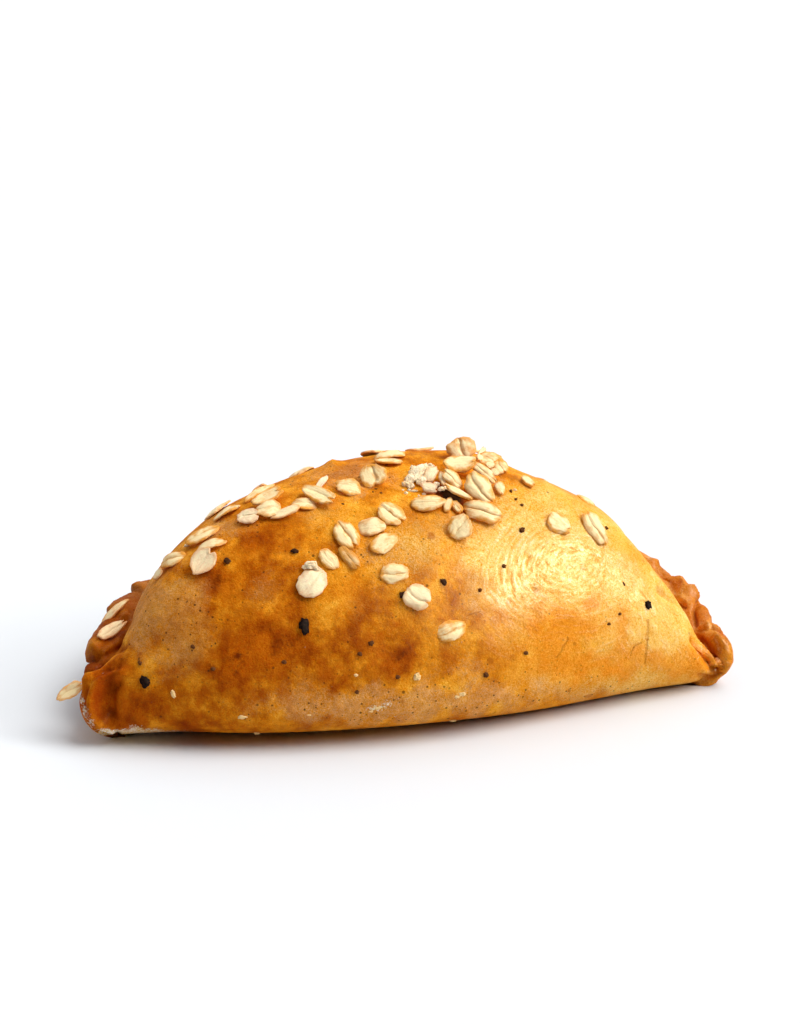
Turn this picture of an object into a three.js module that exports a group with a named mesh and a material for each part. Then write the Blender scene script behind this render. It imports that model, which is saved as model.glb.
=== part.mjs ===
// Empanada: a disc of dough folded over its filling into a half-moon, sealed round the back by a rope
// of overlapping pleats. It is one solid that stands on a flat base.
// Millimetres, +Z up: +X runs along the fold, +Y from the rounded fold at the front to the crimped rim.
import * as THREE from "three";

const { clamp, degToRad, lerp, smoothstep } = THREE.MathUtils;

// Driving dimensions of the filled body
const LEFT_LENGTH = 68.5; // from the middle to the crease at the left tip
const RIGHT_LENGTH = 71.2; // and at the right tip
const BACK_DEPTH = 57; // from the line between the tips to the crease at the back
const LEFT_BULGE = 19.6; // from the line between the tips to the front of the fold, left and middle
const RIGHT_BULGE = 15; // and towards the right tip
const BULGE_CHANGE = { from: 0.45, to: 0.9 }; // where the one passes into the other, as shares of the length
const TIP_FORWARD = 1.5; // how far the right tip is turned to the front
const DOME_HEIGHT = 56;
const APEX = { x: 6, y: 20 };
const FOLD_HEIGHT = 10.5; // of the fold's widest line above the base
const LEFT_TUCK = 18.5; // how far the fold runs in under itself, left and middle
const RIGHT_TUCK = 12; // and towards the right tip
const TUCK_CHANGE = { from: 0.45, to: 0.75 }; // where the one passes into the other, as shares of the length
const TIP_TUCK = 8.5; // at the two tips
const LEFT_TIP_HEIGHT = 10; // of the crease, as the next two
const RIGHT_TIP_HEIGHT = 4.5;
const BACK_HEIGHT = 17;
const LEFT_PINCH = 1.5; // how far the outline is drawn in between a tip and the back
const RIGHT_PINCH = 1;

// Fullness of the dome: 1 is a straight slope from apex to edge, 2 a round one
const FRONT_FULLNESS = 2;
const LEFT_FULLNESS = 2.2;
const RIGHT_FULLNESS = 1.35;
const BACK_FULLNESS = 1.2;
const FRONT_FLATNESS = 2.1; // of the dome's top, as the next two
const LEFT_FLATNESS = 2.2;
const RIGHT_FLATNESS = 2;
const FOLD_RUN = 0.7; // share of the front bulge over which the fold rises from a tip
const FRONT_FROM = -0.5; // where the dome's front form begins, as a share of the back depth
const FRONT_WHOLE = 0.8; // and where it is reached, as a share of the front bulge

// The fold's two ends, drawn out along the fold into lobes low on the body
const LEFT_FLARE = 9.5;
const RIGHT_FLARE = 6.5;
const FLARE_WIDTH = 0.16; // share of the outline that a lobe takes
const LEFT_FLARE_HEIGHT = 16;
const RIGHT_FLARE_HEIGHT = 10;

// Driving dimensions of the crimped rim, an oval rope that leans up and out of the crease
const LEFT_REACH = 5.2; // half the rope's width, as the next two
const RIGHT_REACH = 4.9;
const BACK_REACH = 5.2;
const KNOB = 0.8; // more width at the right tip
const ROPE_THICKNESS = 7;
const LEFT_LEAN = degToRad(72);
const RIGHT_LEAN = degToRad(84);
const BACK_LEAN = degToRad(27);
const LEFT_START = degToRad(112); // where the rope leaves the crease, round its own middle
const RIGHT_START = degToRad(118);
const BACK_START = degToRad(150);
const ROPE_END = degToRad(-150);
const RIM_RISE = 0.55; // share of the depth over which the rim climbs from a tip
const LEFT_RIM_FROM = -0.04; // where the rim begins and is whole, as shares of the bulge or the depth
const LEFT_RIM_WHOLE = 0.2;
const RIGHT_RIM_FROM = -0.4;
const RIGHT_RIM_WHOLE = 0.08;
const PLEATS = 17;
const PLEAT_SLANT = -0.9; // turns of the pattern in one turn round the rope
const PLEAT_DEPTH = 0.42; // share of the rope's size
const PLEAT_UNEVENNESS = 0.4;
const PLEAT_STEP = 0.16; // share of a pleat that its overlapping edge takes
const PLEAT_TAPER = 0.9;
const PLEAT_FADE_IN = 0.7; // in radians round the rope, out of the crease
const PLEAT_FADE_OUT = 1.2; // and into the under side
const PLEAT_WANDER = 0.22; // how unevenly the pleats are spaced, as a share of one
const WANDER_LENGTH = 9;
const PLEAT_PHASE = 0.55; // of the first pleat, at the right tip
const TIP_STRETCH = 0.6; // how much longer that first pleat is
const TIP_STRETCH_LENGTH = 12;
const ROPE_OFFSET = 5; // from the crease to the rope's middle, for its length
const FOOT_TUCK_BACK = 6; // from under the rim to the base
const FOOT_TUCK_FRONT = 2;

// Swellings and hollows of the filling under the dough: place, radius and height
const SWELLINGS = [
  { x: -54, y: 6, radius: 14, height: 0.2 }, // left cheek
  { x: -44, y: 24, radius: 13, height: 0.8 }, // left shoulder
  { x: -28, y: 28, radius: 13, height: -0.1 },
  { x: -12, y: 26, radius: 12, height: 0.3 }, // crest
  { x: 6, y: 26, radius: 12, height: -0.4 },
  { x: 20, y: 26, radius: 12, height: 1.1 },
  { x: 30, y: -6, radius: 14, height: 1 }, // front, right of the middle
  { x: 32, y: 24, radius: 11, height: -0.9 },
  { x: 42, y: 22, radius: 10, height: 0.9 }, // right shoulder
  { x: 53, y: 16, radius: 8, height: 2 },
  { x: 63, y: 8, radius: 8, height: -4 }, // pinched in at the right tip
];
const SWELL_END = 0.9; // share of the dome's slope where they begin to fade

// Facets
const BACK_STATIONS = 120;
const FRONT_STATIONS = 32;
const DOME_RINGS = 13;
const ROPE_RINGS = 15;
const FOOT_RINGS = 3;

const QUARTER_TURN = Math.PI / 2;

// The share of the crimped rope in the edge: none along the fold, whole along the back.
function rimShare(along, right) {
  const leftRim = smoothstep(along, LEFT_RIM_FROM, LEFT_RIM_WHOLE);
  const rightRim = smoothstep(along, RIGHT_RIM_FROM, RIGHT_RIM_WHOLE);
  return lerp(leftRim, rightRim, smoothstep(right, 0.2, 0.8));
}

// Where one slice stands, at an angle round the outline: 0 is the right tip, a quarter turn the back.
function outlineAt(angle) {
  const across = Math.cos(angle);
  const along = Math.sin(angle);
  const right = 0.5 + 0.5 * across;
  const bulge = lerp(LEFT_BULGE, RIGHT_BULGE, smoothstep(right, BULGE_CHANGE.from, BULGE_CHANGE.to));
  const depth = along > 0 ? BACK_DEPTH : bulge;
  const back = clamp(along, 0, 1);
  const length = lerp(LEFT_LENGTH, RIGHT_LENGTH, right);
  const pinch = lerp(-LEFT_PINCH, RIGHT_PINCH, right) * 4 * back * (1 - back);
  const rim = rimShare(along, right);
  const nearTip = 1 - smoothstep(along * along, 0, 2 * FLARE_WIDTH);
  const forward = TIP_FORWARD * clamp(across, 0, 1) ** 4;
  return {
    angle,
    along,
    right,
    back,
    rim,
    lift: smoothstep(back, 0, RIM_RISE),
    edge: new THREE.Vector2(length * across - pinch, depth * along - forward),
    normal: new THREE.Vector2(depth * across, length * along).normalize(),
    flare: lerp(-LEFT_FLARE, RIGHT_FLARE, right) * (1 - rim) * nearTip,
    flareHeight: lerp(LEFT_FLARE_HEIGHT, RIGHT_FLARE_HEIGHT, right),
  };
}

// All that holds along one slice: its outline, the dome's form over it and the rope's form.
function sliceAt(angle) {
  const outline = outlineAt(angle);
  const { along, right, back, lift } = outline;
  const fold = smoothstep(-along, 0, FOLD_RUN);
  const front = smoothstep(-along, FRONT_FROM, FRONT_WHOLE);
  const fromTips = (atLeft, atRight, further, share) => lerp(lerp(atLeft, atRight, right), further, share);
  const knob = KNOB * right * (1 - smoothstep(back, 0, 0.3));
  const foldTuck = lerp(LEFT_TUCK, RIGHT_TUCK, smoothstep(right, TUCK_CHANGE.from, TUCK_CHANGE.to));
  const rearHeight = fromTips(LEFT_TIP_HEIGHT, RIGHT_TIP_HEIGHT, BACK_HEIGHT, lift);
  const rearFullness = fromTips(LEFT_FULLNESS, RIGHT_FULLNESS, BACK_FULLNESS, smoothstep(back, 0, 1));
  return {
    ...outline,
    height: lerp(rearHeight, FOLD_HEIGHT, fold),
    tuck: lerp(TIP_TUCK, foldTuck, fold),
    fullness: lerp(rearFullness, FRONT_FULLNESS, front),
    flatness: fromTips(LEFT_FLATNESS, RIGHT_FLATNESS, FRONT_FLATNESS, front),
    reach: fromTips(LEFT_REACH, RIGHT_REACH, BACK_REACH, lift) + knob,
    lean: fromTips(LEFT_LEAN, RIGHT_LEAN, BACK_LEAN, lift),
    start: fromTips(LEFT_START, RIGHT_START, BACK_START, lift),
  };
}

// A point on a slice, at a distance out from the crease and a height.
function outFrom(slice, out, height) {
  const { edge, flare, normal } = slice;
  return new THREE.Vector3(edge.x + flare + normal.x * out, edge.y + normal.y * out, Math.max(height, 0));
}

// The dome, from the apex at share 0 to the crease, or the fold's widest line, at share 1.
function domePoint(slice, share) {
  const turn = share * QUARTER_TURN;
  const reach = Math.sin(turn) ** (2 / slice.flatness);
  const swell = Math.cos(turn) ** (2 / slice.fullness);
  const rise = (DOME_HEIGHT - slice.height) * swell;
  const flare = slice.flare * (1 - smoothstep(rise, 0, slice.flareHeight));
  return new THREE.Vector3(
    lerp(APEX.x, slice.edge.x, reach) + flare,
    lerp(APEX.y, slice.edge.y, reach),
    slice.height + rise,
  );
}

// How far one pleat stands up, from 0 to 1: a long rise, then a steep drop onto the next one.
function pleatRelief(angle, around) {
  const a = RIGHT_LENGTH + ROPE_OFFSET;
  const b = BACK_DEPTH + ROPE_OFFSET;
  const run = ((a + b) / 2) * angle - ((a - b) / 4) * Math.sin(2 * angle);
  const pitch = ((a + b) / 2) * (Math.PI / PLEATS);
  const wander = PLEAT_WANDER * Math.sin(run / WANDER_LENGTH);
  const stretch = TIP_STRETCH * (Math.exp(-run / TIP_STRETCH_LENGTH) - 1);
  const slant = (PLEAT_SLANT * around) / (2 * Math.PI);
  const turns = run / pitch + slant + wander + stretch + PLEAT_PHASE;
  const part = 1 - (turns - Math.floor(turns));
  const size = 1 - PLEAT_UNEVENNESS * (0.5 + 0.5 * Math.sin(2.4 * Math.floor(turns)));
  return size * smoothstep(part, 0, PLEAT_STEP) * (1 - PLEAT_TAPER * smoothstep(part, PLEAT_STEP, 1));
}

// The crimped rope, from the crease over its top and round to its under side.
function ropePoint(slice, share) {
  const around = lerp(slice.start, ROPE_END, share);
  const oval = (turn) => {
    const point = new THREE.Vector2(slice.reach * Math.cos(turn), (ROPE_THICKNESS / 2) * Math.sin(turn));
    return point.rotateAround(new THREE.Vector2(), slice.lean);
  };
  const fadeIn = smoothstep(slice.start - around, 0, PLEAT_FADE_IN);
  const fadeOut = smoothstep(around - ROPE_END, 0, PLEAT_FADE_OUT);
  const swell = 1 + PLEAT_DEPTH * (pleatRelief(slice.angle, around) - 0.5) * fadeIn * fadeOut;
  return oval(around).multiplyScalar(swell).sub(oval(slice.start));
}

// The smooth front fold, from its widest line down and in to the base.
function foldPoint(slice, share) {
  const turn = share * QUARTER_TURN;
  return new THREE.Vector2(-slice.tuck * (1 - Math.cos(turn)), -slice.height * Math.sin(turn));
}

// The edge of the half-moon: the rope at the back and the tips, which runs out into the fold at the front.
function edgeOffset(slice, share) {
  return foldPoint(slice, share).lerp(ropePoint(slice, share), slice.rim);
}

function edgePoint(slice, share) {
  const offset = edgeOffset(slice, share);
  return outFrom(slice, offset.x, slice.height + offset.y);
}

// The under side, from the edge in to the flat base.
function footPoint(slice, share) {
  const turn = share * QUARTER_TURN;
  const end = edgeOffset(slice, 1);
  const tuck = lerp(FOOT_TUCK_FRONT, FOOT_TUCK_BACK, slice.lift);
  const drop = Math.max(slice.height + end.y, 0) * (1 - Math.sin(turn));
  return outFrom(slice, end.x - tuck * (1 - Math.cos(turn)), drop);
}

function stationAngles() {
  const angles = [];
  for (let i = 0; i < BACK_STATIONS; i++) angles.push((Math.PI * i) / BACK_STATIONS);
  for (let i = 0; i < FRONT_STATIONS; i++) angles.push(Math.PI * (1 + i / FRONT_STATIONS));
  return angles;
}

function slicePoints(angle) {
  const slice = sliceAt(angle);
  const points = [];
  for (let i = 1; i <= DOME_RINGS; i++) points.push(domePoint(slice, i / DOME_RINGS));
  for (let i = 1; i <= ROPE_RINGS; i++) points.push(edgePoint(slice, i / ROPE_RINGS));
  for (let i = 1; i <= FOOT_RINGS; i++) points.push(footPoint(slice, i / FOOT_RINGS));
  return points;
}

// How far the filling pushes the dough out, over a place in plan.
function swellAt(point) {
  let push = 0;
  for (const { x, y, radius, height } of SWELLINGS) {
    push += height * Math.exp(-((point.x - x) ** 2 + (point.y - y) ** 2) / radius ** 2);
  }
  return push;
}

// Pushes the dome in or out along its normals where the filling swells it or leaves it slack.
function swellDome(geometry) {
  geometry.computeVertexNormals();
  const place = geometry.getAttribute("position");
  const normals = geometry.getAttribute("normal");
  const ringSize = DOME_RINGS + ROPE_RINGS + FOOT_RINGS;
  for (let i = 0; i < place.count - 2; i++) {
    const share = ((i % ringSize) + 1) / DOME_RINGS;
    if (share >= 1) continue;
    const point = new THREE.Vector3().fromBufferAttribute(place, i);
    const push = swellAt(point) * (1 - smoothstep(share, SWELL_END, 1));
    point.addScaledVector(new THREE.Vector3().fromBufferAttribute(normals, i), push);
    place.setXYZ(i, point.x, point.y, point.z);
  }
}

function pastryGeometry() {
  const slices = stationAngles().map(slicePoints);
  const rings = slices[0].length;
  const apex = new THREE.Vector3(APEX.x, APEX.y, DOME_HEIGHT);
  const base = new THREE.Vector3(APEX.x, APEX.y, 0);
  const geometry = new THREE.BufferGeometry().setFromPoints([...slices.flat(), apex, base]);
  const top = slices.length * rings;
  const bottom = top + 1;
  const index = [];
  for (let s = 0; s < slices.length; s++) {
    const here = s * rings;
    const next = ((s + 1) % slices.length) * rings;
    index.push(top, here, next);
    for (let r = 0; r < rings - 1; r++) {
      index.push(here + r, here + r + 1, next + r + 1, here + r, next + r + 1, next + r);
    }
    index.push(bottom, next + rings - 1, here + rings - 1);
  }
  geometry.setIndex(index);
  swellDome(geometry);
  geometry.computeVertexNormals();
  return geometry;
}

const crust = new THREE.MeshStandardMaterial({ color: 0xc58a3e, roughness: 0.45, metalness: 0 });
const pastry = new THREE.Mesh(pastryGeometry(), crust);
pastry.name = "pastry";

// The origin is at the middle of the base.
const middle = new THREE.Box3().setFromObject(pastry).getCenter(new THREE.Vector3());
pastry.position.set(-middle.x, -middle.y, 0);

const empanada = new THREE.Group();
empanada.add(pastry);

export default empanada;
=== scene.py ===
import math
import random
from collections import namedtuple
from types import SimpleNamespace

import bpy
import numpy as np
from mathutils import Matrix, Vector
from mathutils.bvhtree import BVHTree


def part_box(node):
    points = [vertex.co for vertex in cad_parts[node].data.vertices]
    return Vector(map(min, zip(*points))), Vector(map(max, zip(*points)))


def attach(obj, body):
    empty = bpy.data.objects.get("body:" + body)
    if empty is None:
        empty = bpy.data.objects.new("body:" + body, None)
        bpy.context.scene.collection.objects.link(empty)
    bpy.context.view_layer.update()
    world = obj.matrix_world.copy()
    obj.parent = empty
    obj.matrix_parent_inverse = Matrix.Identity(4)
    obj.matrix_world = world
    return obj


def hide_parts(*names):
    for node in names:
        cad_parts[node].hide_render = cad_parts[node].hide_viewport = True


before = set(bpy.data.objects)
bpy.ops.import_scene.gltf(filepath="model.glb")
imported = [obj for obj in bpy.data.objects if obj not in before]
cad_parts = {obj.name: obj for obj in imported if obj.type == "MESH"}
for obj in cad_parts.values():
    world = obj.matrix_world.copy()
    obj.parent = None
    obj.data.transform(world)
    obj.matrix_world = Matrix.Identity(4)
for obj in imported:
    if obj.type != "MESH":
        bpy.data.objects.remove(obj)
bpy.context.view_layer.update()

MM = 0.001  # the sizes below are in millimetres
QUARTER_TURN = math.pi / 2

# The picture and its view of the pastry
PICTURE = (800, 1024)
LENS = 85.0
SENSOR = 36.0  # along the picture's height
VIEW_AZIMUTH = math.radians(-12.5)
VIEW_ELEVATION = math.radians(20.5)
VIEW_DISTANCE = 572.0
VIEW_TARGET = Vector((0.95, -5.3, 42.8))

# The pastry's own sizes, as the frame was made
PASTRY = dict(
    left_length=68.5, right_length=71.2, back_depth=57.0, left_bulge=19.6, right_bulge=15.0, tip_forward=1.5,
    dome_height=56.0, apex_x=6.0, apex_y=20.0, left_tip_height=10.0, right_tip_height=4.5, back_height=17.0,
    fold_height=10.5, tip_tuck=8.5, left_tuck=18.5, right_tuck=12.0,
    front_fullness=2.0, left_fullness=2.2, right_fullness=1.35, back_fullness=1.2,
    front_flatness=2.1, left_flatness=2.2, right_flatness=2.0, fold_run=0.7, front_from=-0.5, front_whole=0.8,
    left_pinch=1.5, right_pinch=1.0, left_reach=5.2, right_reach=4.9, knob=0.8, back_reach=5.2,
    rope_thickness=7.0, rope_offset=5.0, rope_start=math.radians(150), rope_end=math.radians(-150),
    left_lean=math.radians(72), right_lean=math.radians(84), back_lean=math.radians(27),
    left_start=math.radians(112), right_start=math.radians(118),
    rim_rise=0.55, left_rim_from=-0.04, left_rim_whole=0.2, right_rim_from=-0.4, right_rim_whole=0.08,
    left_flare=9.5, right_flare=6.5, flare_width=0.16, left_flare_height=16.0, right_flare_height=10.0,
    pleats=17.0, pleat_slant=-0.9, pleat_depth=0.42, pleat_unevenness=0.4, pleat_step=0.16, pleat_taper=0.9,
    pleat_fade_in=0.7, pleat_fade_out=1.2, pleat_wander=0.22, wander_length=9.0, pleat_phase=0.55,
    tip_stretch=0.6, tip_stretch_length=12.0, foot_tuck_back=6.0, foot_tuck_front=2.0,
    lump_height=0.7, lump_size=16.0, ripple_height=0.16, ripple_size=4.5,
    blister_height=0.35, blister_size=5.0, rim_roughness=0.7,
)
SWELLINGS = (  # x, y, radius and height
    (-54, 6, 14, 0.2),
    (-44, 24, 13, 0.8),
    (-28, 28, 13, -0.1),
    (-12, 26, 12, 0.3),
    (6, 26, 12, -0.4),
    (20, 26, 12, 1.1),
    (30, -6, 14, 1.0),
    (32, 24, 11, -0.9),
    (42, 22, 10, 0.9),
    (53, 16, 8, 2.0),
    (63, 8, 8, -4.0),
)
# Oat flakes as the picture shows them: middle, length and width in pixels, the angle of the long axis (down
# to the right is positive), how far the flake faces the viewer, its lift off the dough in mm, how deep its
# crease is, and how tan and how floury it is.
Flake = namedtuple("Flake", "px py length width angle face lift crease tan flour")
FLAKES = [Flake(*row) for row in (
    (461, 449, 24, 30, 72, 0.9, 1.0, 0.5, 0.55, 0.1),
    (481, 455, 16, 5, -62, 0.3, 1.2, 0.0, 0.1, 0.0),
    (491, 459, 25, 17, 25, 0.5, 0.4, 0.1, 0.5, 0.0),
    (501, 467, 16, 15, 60, 0.6, 0.2, 0.2, 0.45, 0.0),
    (490, 465, 9, 5, -10, 0.5, 1.6, 0.0, 0.0, 0.0),
    (495, 472, 9, 7, 30, 0.5, 1.2, 0.0, 0.1, 0.0),
    (461, 463, 33, 16, -4, 0.35, 2.2, 0.05, 0.15, 0.0),
    (484, 471, 30, 11, 42, 0.4, 2.4, 0.25, 0.2, 0.0),
    (481, 488, 36, 25, 53, 0.55, 1.6, 0.6, 0.1, 0.0),
    (500, 488, 14, 10, 75, 0.4, 0.6, 0.0, 0.15, 0.0),
    (453, 478, 24, 13, 46, 0.5, 1.8, 0.3, 0.1, 0.0),
    (459, 492, 32, 6, 28, 0.2, 2.2, 0.0, 0.15, 0.0),
    (443, 479, 15, 6, 75, 0.3, 1.0, 0.0, 0.25, 0.2),
    (431, 473, 19, 12, -52, 0.5, 1.2, 0.05, 0.35, 0.4),
    (430, 488, 16, 11, 15, 0.6, 0.6, 0.0, 0.35, 0.5),
    (428, 502, 35, 15, -4, 0.35, 0.9, 0.12, 0.25, 0.0),
    (448, 504, 16, 7, -72, 0.2, 0.5, 0.0, 0.3, 0.0),
    (457, 507, 15, 9, 52, 0.4, 0.3, 0.1, 0.55, 0.0),
    (483, 511, 42, 20, 16, 0.5, 1.0, 0.55, 0.2, 0.0),
    (460, 527, 25, 24, -52, 0.6, 0.8, 0.35, 0.1, 0.0),
    (528, 481, 16, 8, 40, 0.3, 0.2, 0.0, 0.2, 0.0),
    (171, 559, 28, 14, -18, 0.3, 0.3, 0.3, 0.3, 0.0),
    (158, 574, 13, 6, -50, 0.2, 0.2, 0.0, 0.3, 0.2),
    (202, 535, 36, 11, -27, 0.1, 0.3, 0.3, 0.4, 0.0),
    (210, 544, 32, 8, -15, 0.0, 0.5, 0.0, 0.2, 0.1),
    (203, 562, 30, 24, -52, 0.5, 0.5, 0.1, 0.5, 0.4),
    (225, 512, 30, 6, -30, 0.0, 0.2, 0.1, 0.35, 0.0),
    (259, 492, 31, 9, -32, 0.1, 0.2, 0.1, 0.45, 0.0),
    (268, 497, 34, 12, -28, 0.2, 0.7, 0.1, 0.3, 0.0),
    (269, 509, 27, 16, -5, 0.4, 0.8, 0.25, 0.35, 0.1),
    (248, 517, 23, 14, -12, 0.4, 0.3, 0.2, 0.4, 0.5),
    (286, 512, 31, 8, -22, 0.1, 0.6, 0.0, 0.25, 0.2),
    (304, 504, 26, 11, 5, 0.2, 0.2, 0.15, 0.35, 0.0),
    (319, 495, 38, 16, 24, 0.3, 0.7, 0.2, 0.2, 0.0),
    (322, 482, 16, 5, -55, 0.1, 0.3, 0.0, 0.1, 0.6),
    (349, 487, 27, 16, 12, 0.4, 0.2, 0.05, 0.2, 0.0),
    (373, 476, 23, 28, 72, 0.6, 0.3, 0.4, 0.25, 0.0),
    (389, 454, 33, 7, -8, 0.2, 0.5, 0.0, 0.3, 0.0),
    (389, 461, 28, 5, 3, 0.0, 0.2, 0.0, 0.35, 0.0),
    (391, 514, 31, 20, 35, 0.2, 0.3, 0.45, 0.1, 0.0),
    (371, 526, 29, 17, -8, 0.2, 0.3, 0.0, 0.05, 0.1),
    (347, 535, 31, 22, 52, 0.2, 0.3, 0.55, 0.2, 0.0),
    (384, 543, 28, 19, -28, 0.2, 0.3, 0.05, 0.25, 0.0),
    (329, 559, 24, 16, 50, 0.2, 0.3, 0.1, 0.2, 0.0),
    (350, 558, 28, 13, 50, 0.1, 0.1, 0.1, 1.0, 0.0),
    (312, 581, 33, 27, -42, 0.2, 0.4, 0.3, 0.25, 0.45),
    (395, 573, 30, 21, -3, 0.1, 0.3, 0.35, 0.2, 0.0),
    (418, 597, 29, 25, 30, 0.1, 0.3, 0.45, 0.15, 0.3),
    (453, 630, 31, 21, -22, 0.0, 0.3, 0.3, 0.4, 0.0),
    (560, 523, 27, 19, 35, 0.1, 0.2, 0.1, 0.15, 0.0),
    (596, 527, 38, 18, 58, 0.2, 0.3, 0.45, 0.15, 0.0),
    (587, 497, 19, 8, 25, 0.0, 0.2, 0.0, 0.6, 0.0),
    (111, 630, 31, 13, -33, 0.3, 0.5, 0.15, 0.1, 0.3),
    (114, 610, 34, 7, -43, 0.1, 0.4, 0.0, 0.55, 0.2),
)]

# A flake close beside the left tip: the dough's pixel next to it, its own pixel, how far behind that it lies
# and its length and width in mm, and its angle.
TIP_FLAKE = SimpleNamespace(beside=(85, 689), px=69, py=692, behind=2.2, length=7.2, width=3.1, angle=-33)

# Flakes where the picture doesn't show: x and y in the frame, and the angle of the long axis in plan.
FAR_FLAKES = (
    (-42, -2, 30), (-30, 8, 100), (-21, 3, 65), (-12, 14, -20), (-3, 6, 40), (4, 16, 120), (9, 8, 10),
    (16, 12, 80), (22, 3, -35), (28, 14, 55), (38, 4, 150), (-7, 24, 75), (13, 22, -60), (-26, 17, 15),
)
FAR_FLAKE_SIZE = (7.4, 5.2)
FAR_FLAKE_LIFT = 0.7
FLAKE_LIFT = 0.35  # of a flake's middle off the dough, besides its own
FLAKE_LENGTHS = (2.0, 9.5)  # the least and the most
FLAKE_WIDTHS = (1.8, 7.2)
FLAKE_WOBBLE = 0.12  # how far chance turns a flake's face
FLAKE_SIZES = dict(
    thickness=0.5, point=0.05, ragged=0.34, split=0.3, puff=0.3, curl=0.09, wave=0.2, bend=0.16)
SPECK_SIZES = dict(facets=1.6, lumps=0.5, chips=0.5, crumble=0.8, fineness=3.0)
CRUMB_SIZES = dict(facets=1.2, lumps=0.5, chips=0.6, crumble=0.5, fineness=4.0)

# Dark specks, and pale crumbs: middle, length and width in pixels, the angle, and the lift in mm.
Bit = namedtuple("Bit", "px py length width angle lift")
SPECKS = [Bit(*row) for row in (
    (304, 626, 17, 9, 82, 0.3), (145, 682, 13, 10, 75, 0.3), (648, 605, 9, 8, 80, 0.0),
    (371, 643, 6, 5, 0, 0.2), (360, 654, 5, 4, 30, 0.1), (398, 677, 5, 4, 0, 0.1),
    (486, 675, 6, 5, 40, 0.2), (357, 692, 4, 4, 0, 0.1), (526, 653, 5, 4, 20, 0.1),
    (295, 551, 8, 5, 5, 0.3), (227, 561, 7, 6, 20, 0.3), (444, 582, 8, 5, 60, 0.2),
    (403, 595, 8, 6, -30, 0.2), (376, 489, 3, 2, 10, 0.0), (370, 486, 3, 2, 0, 0.0),
    (381, 493, 3, 2, 0, 0.0), (373, 492, 2, 2, 0, 0.0), (522, 530, 6, 5, -40, 0.2),
    (504, 566, 5, 4, 0, 0.1), (606, 528, 5, 4, 0, 0.1), (624, 584, 5, 2, 60, 0.0), (609, 624, 4, 3, 0, 0.1),
    (620, 614, 4, 3, 0, 0.1), (480, 590, 4, 4, 0, 0.1), (511, 491, 4, 3, 80, 0.1),
    (140, 663, 5, 4, 60, 0.1), (193, 647, 5, 4, 45, 0.1), (213, 669, 5, 4, 0, 0.1),
    (284, 662, 5, 4, 0, 0.1), (343, 504, 3, 2, 15, 0.0), (516, 499, 3, 3, 0, 0.1), (522, 505, 3, 3, 0, 0.1),
)]
CHIPS = [Bit(*row) for row in (
    (173, 694, 9, 5, 80, 0.0), (242, 717, 9, 4, 0, 0.0), (417, 677, 8, 7, 60, 0.1), (462, 694, 7, 5, 0, -0.1),
    (457, 697, 5, 3, 0, 0.0), (378, 708, 9, 3, -20, -0.1), (371, 711, 6, 3, 0, -0.1),
    (356, 675, 4, 3, 0, 0.0), (257, 733, 6, 4, 0, 0.1), (453, 722, 7, 3, 0, 0.1), (309, 715, 4, 2, 0, 0.0),
)]
CRUMBS = [Bit(*row) for row in (
    (311, 565, 13, 8, -5, 0.9), (305, 567, 6, 5, 0, 0.6), (317, 568, 7, 5, 30, 0.8),
    (417, 474, 27, 13, -38, 1.0), (423, 470, 15, 9, -10, 1.4), (410, 479, 13, 10, -50, 0.8),
    (406, 484, 7, 8, 60, 0.4), (411, 486, 6, 7, 70, 0.5), (421, 481, 12, 8, -30, 1.0),
    (414, 491, 7, 3, 0, 0.1), (406, 493, 4, 3, 0, 0.1), (441, 489, 7, 5, 0, 0.9),
    (446, 488, 6, 4, 20, 0.9), (437, 484, 6, 5, 0, 0.6), (188, 545, 8, 4, -20, 0.3),
    (515, 490, 4, 3, 0, 0.0), (419, 496, 4, 2, 20, 0.0), (409, 490, 4, 3, 0, 0.1), (403, 490, 3, 2, 0, 0.0),
    (413, 468, 6, 5, 20, 1.2), (430, 466, 8, 5, 0, 1.3), (424, 494, 4, 3, 0, 0.1),
)]
# Blotches of the crust in the picture: middle, half width and half height in pixels, and strength.
# Browning with painted shade: the strongest mark, under the heap of flakes, is a painted shadow, and the
# marks in the left tip's groove and gap are painted shade.
BROWNING_AND_SHADE = (
    (235, 545, 50, 40, 0.35), (250, 615, 40, 40, 0.3), (310, 650, 40, 50, 0.3), (390, 670, 30, 25, 0.3),
    (490, 670, 20, 14, 0.4), (235, 575, 25, 20, 0.7), (258, 690, 18, 10, 0.8), (212, 573, 20, 12, 0.8),
    (305, 525, 22, 18, 0.35), (255, 640, 50, 30, 1.2), (285, 655, 45, 25, 0.6), (228, 671, 26, 14, 2.3),
    (324, 672, 20, 12, 0.8), (196, 690, 18, 10, 0.6), (102, 670, 14, 9, 2.6), (175, 670, 14, 8, 0.8),
    (330, 680, 18, 14, 0.6), (345, 600, 20, 25, 0.6), (385, 640, 35, 28, 1.05), (108, 692, 26, 26, 0.8),
    (165, 714, 85, 18, 1.4), (450, 575, 16, 30, 0.5), (296, 592, 18, 18, 0.9), (262, 538, 22, 18, 0.6),
    (295, 550, 16, 14, 0.6), (228, 612, 18, 18, 0.6), (405, 665, 30, 14, 0.5), (482, 628, 24, 16, 0.35),
    (577, 622, 20, 8, 0.5), (625, 620, 7, 26, 0.35), (655, 655, 36, 8, 0.1), (690, 666, 22, 12, 0.15),
    (594, 603, 8, 5, 1.4), (540, 630, 5, 20, 0.7), (566, 622, 8, 14, 0.5), (537, 590, 4, 6, 1.2),
    (583, 568, 3, 3, 1.0), (603, 589, 3, 3, 0.8), (524, 586, 4, 3, 0.6), (282, 592, 24, 18, 0.4),
    (452, 497, 18, 9, 6.5), (350, 474, 50, 12, 0.5), (185, 615, 34, 45, 0.5), (130, 645, 25, 40, 0.1),
    (135, 700, 24, 20, 0.3), (104, 710, 12, 12, 1.0),
)
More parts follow.
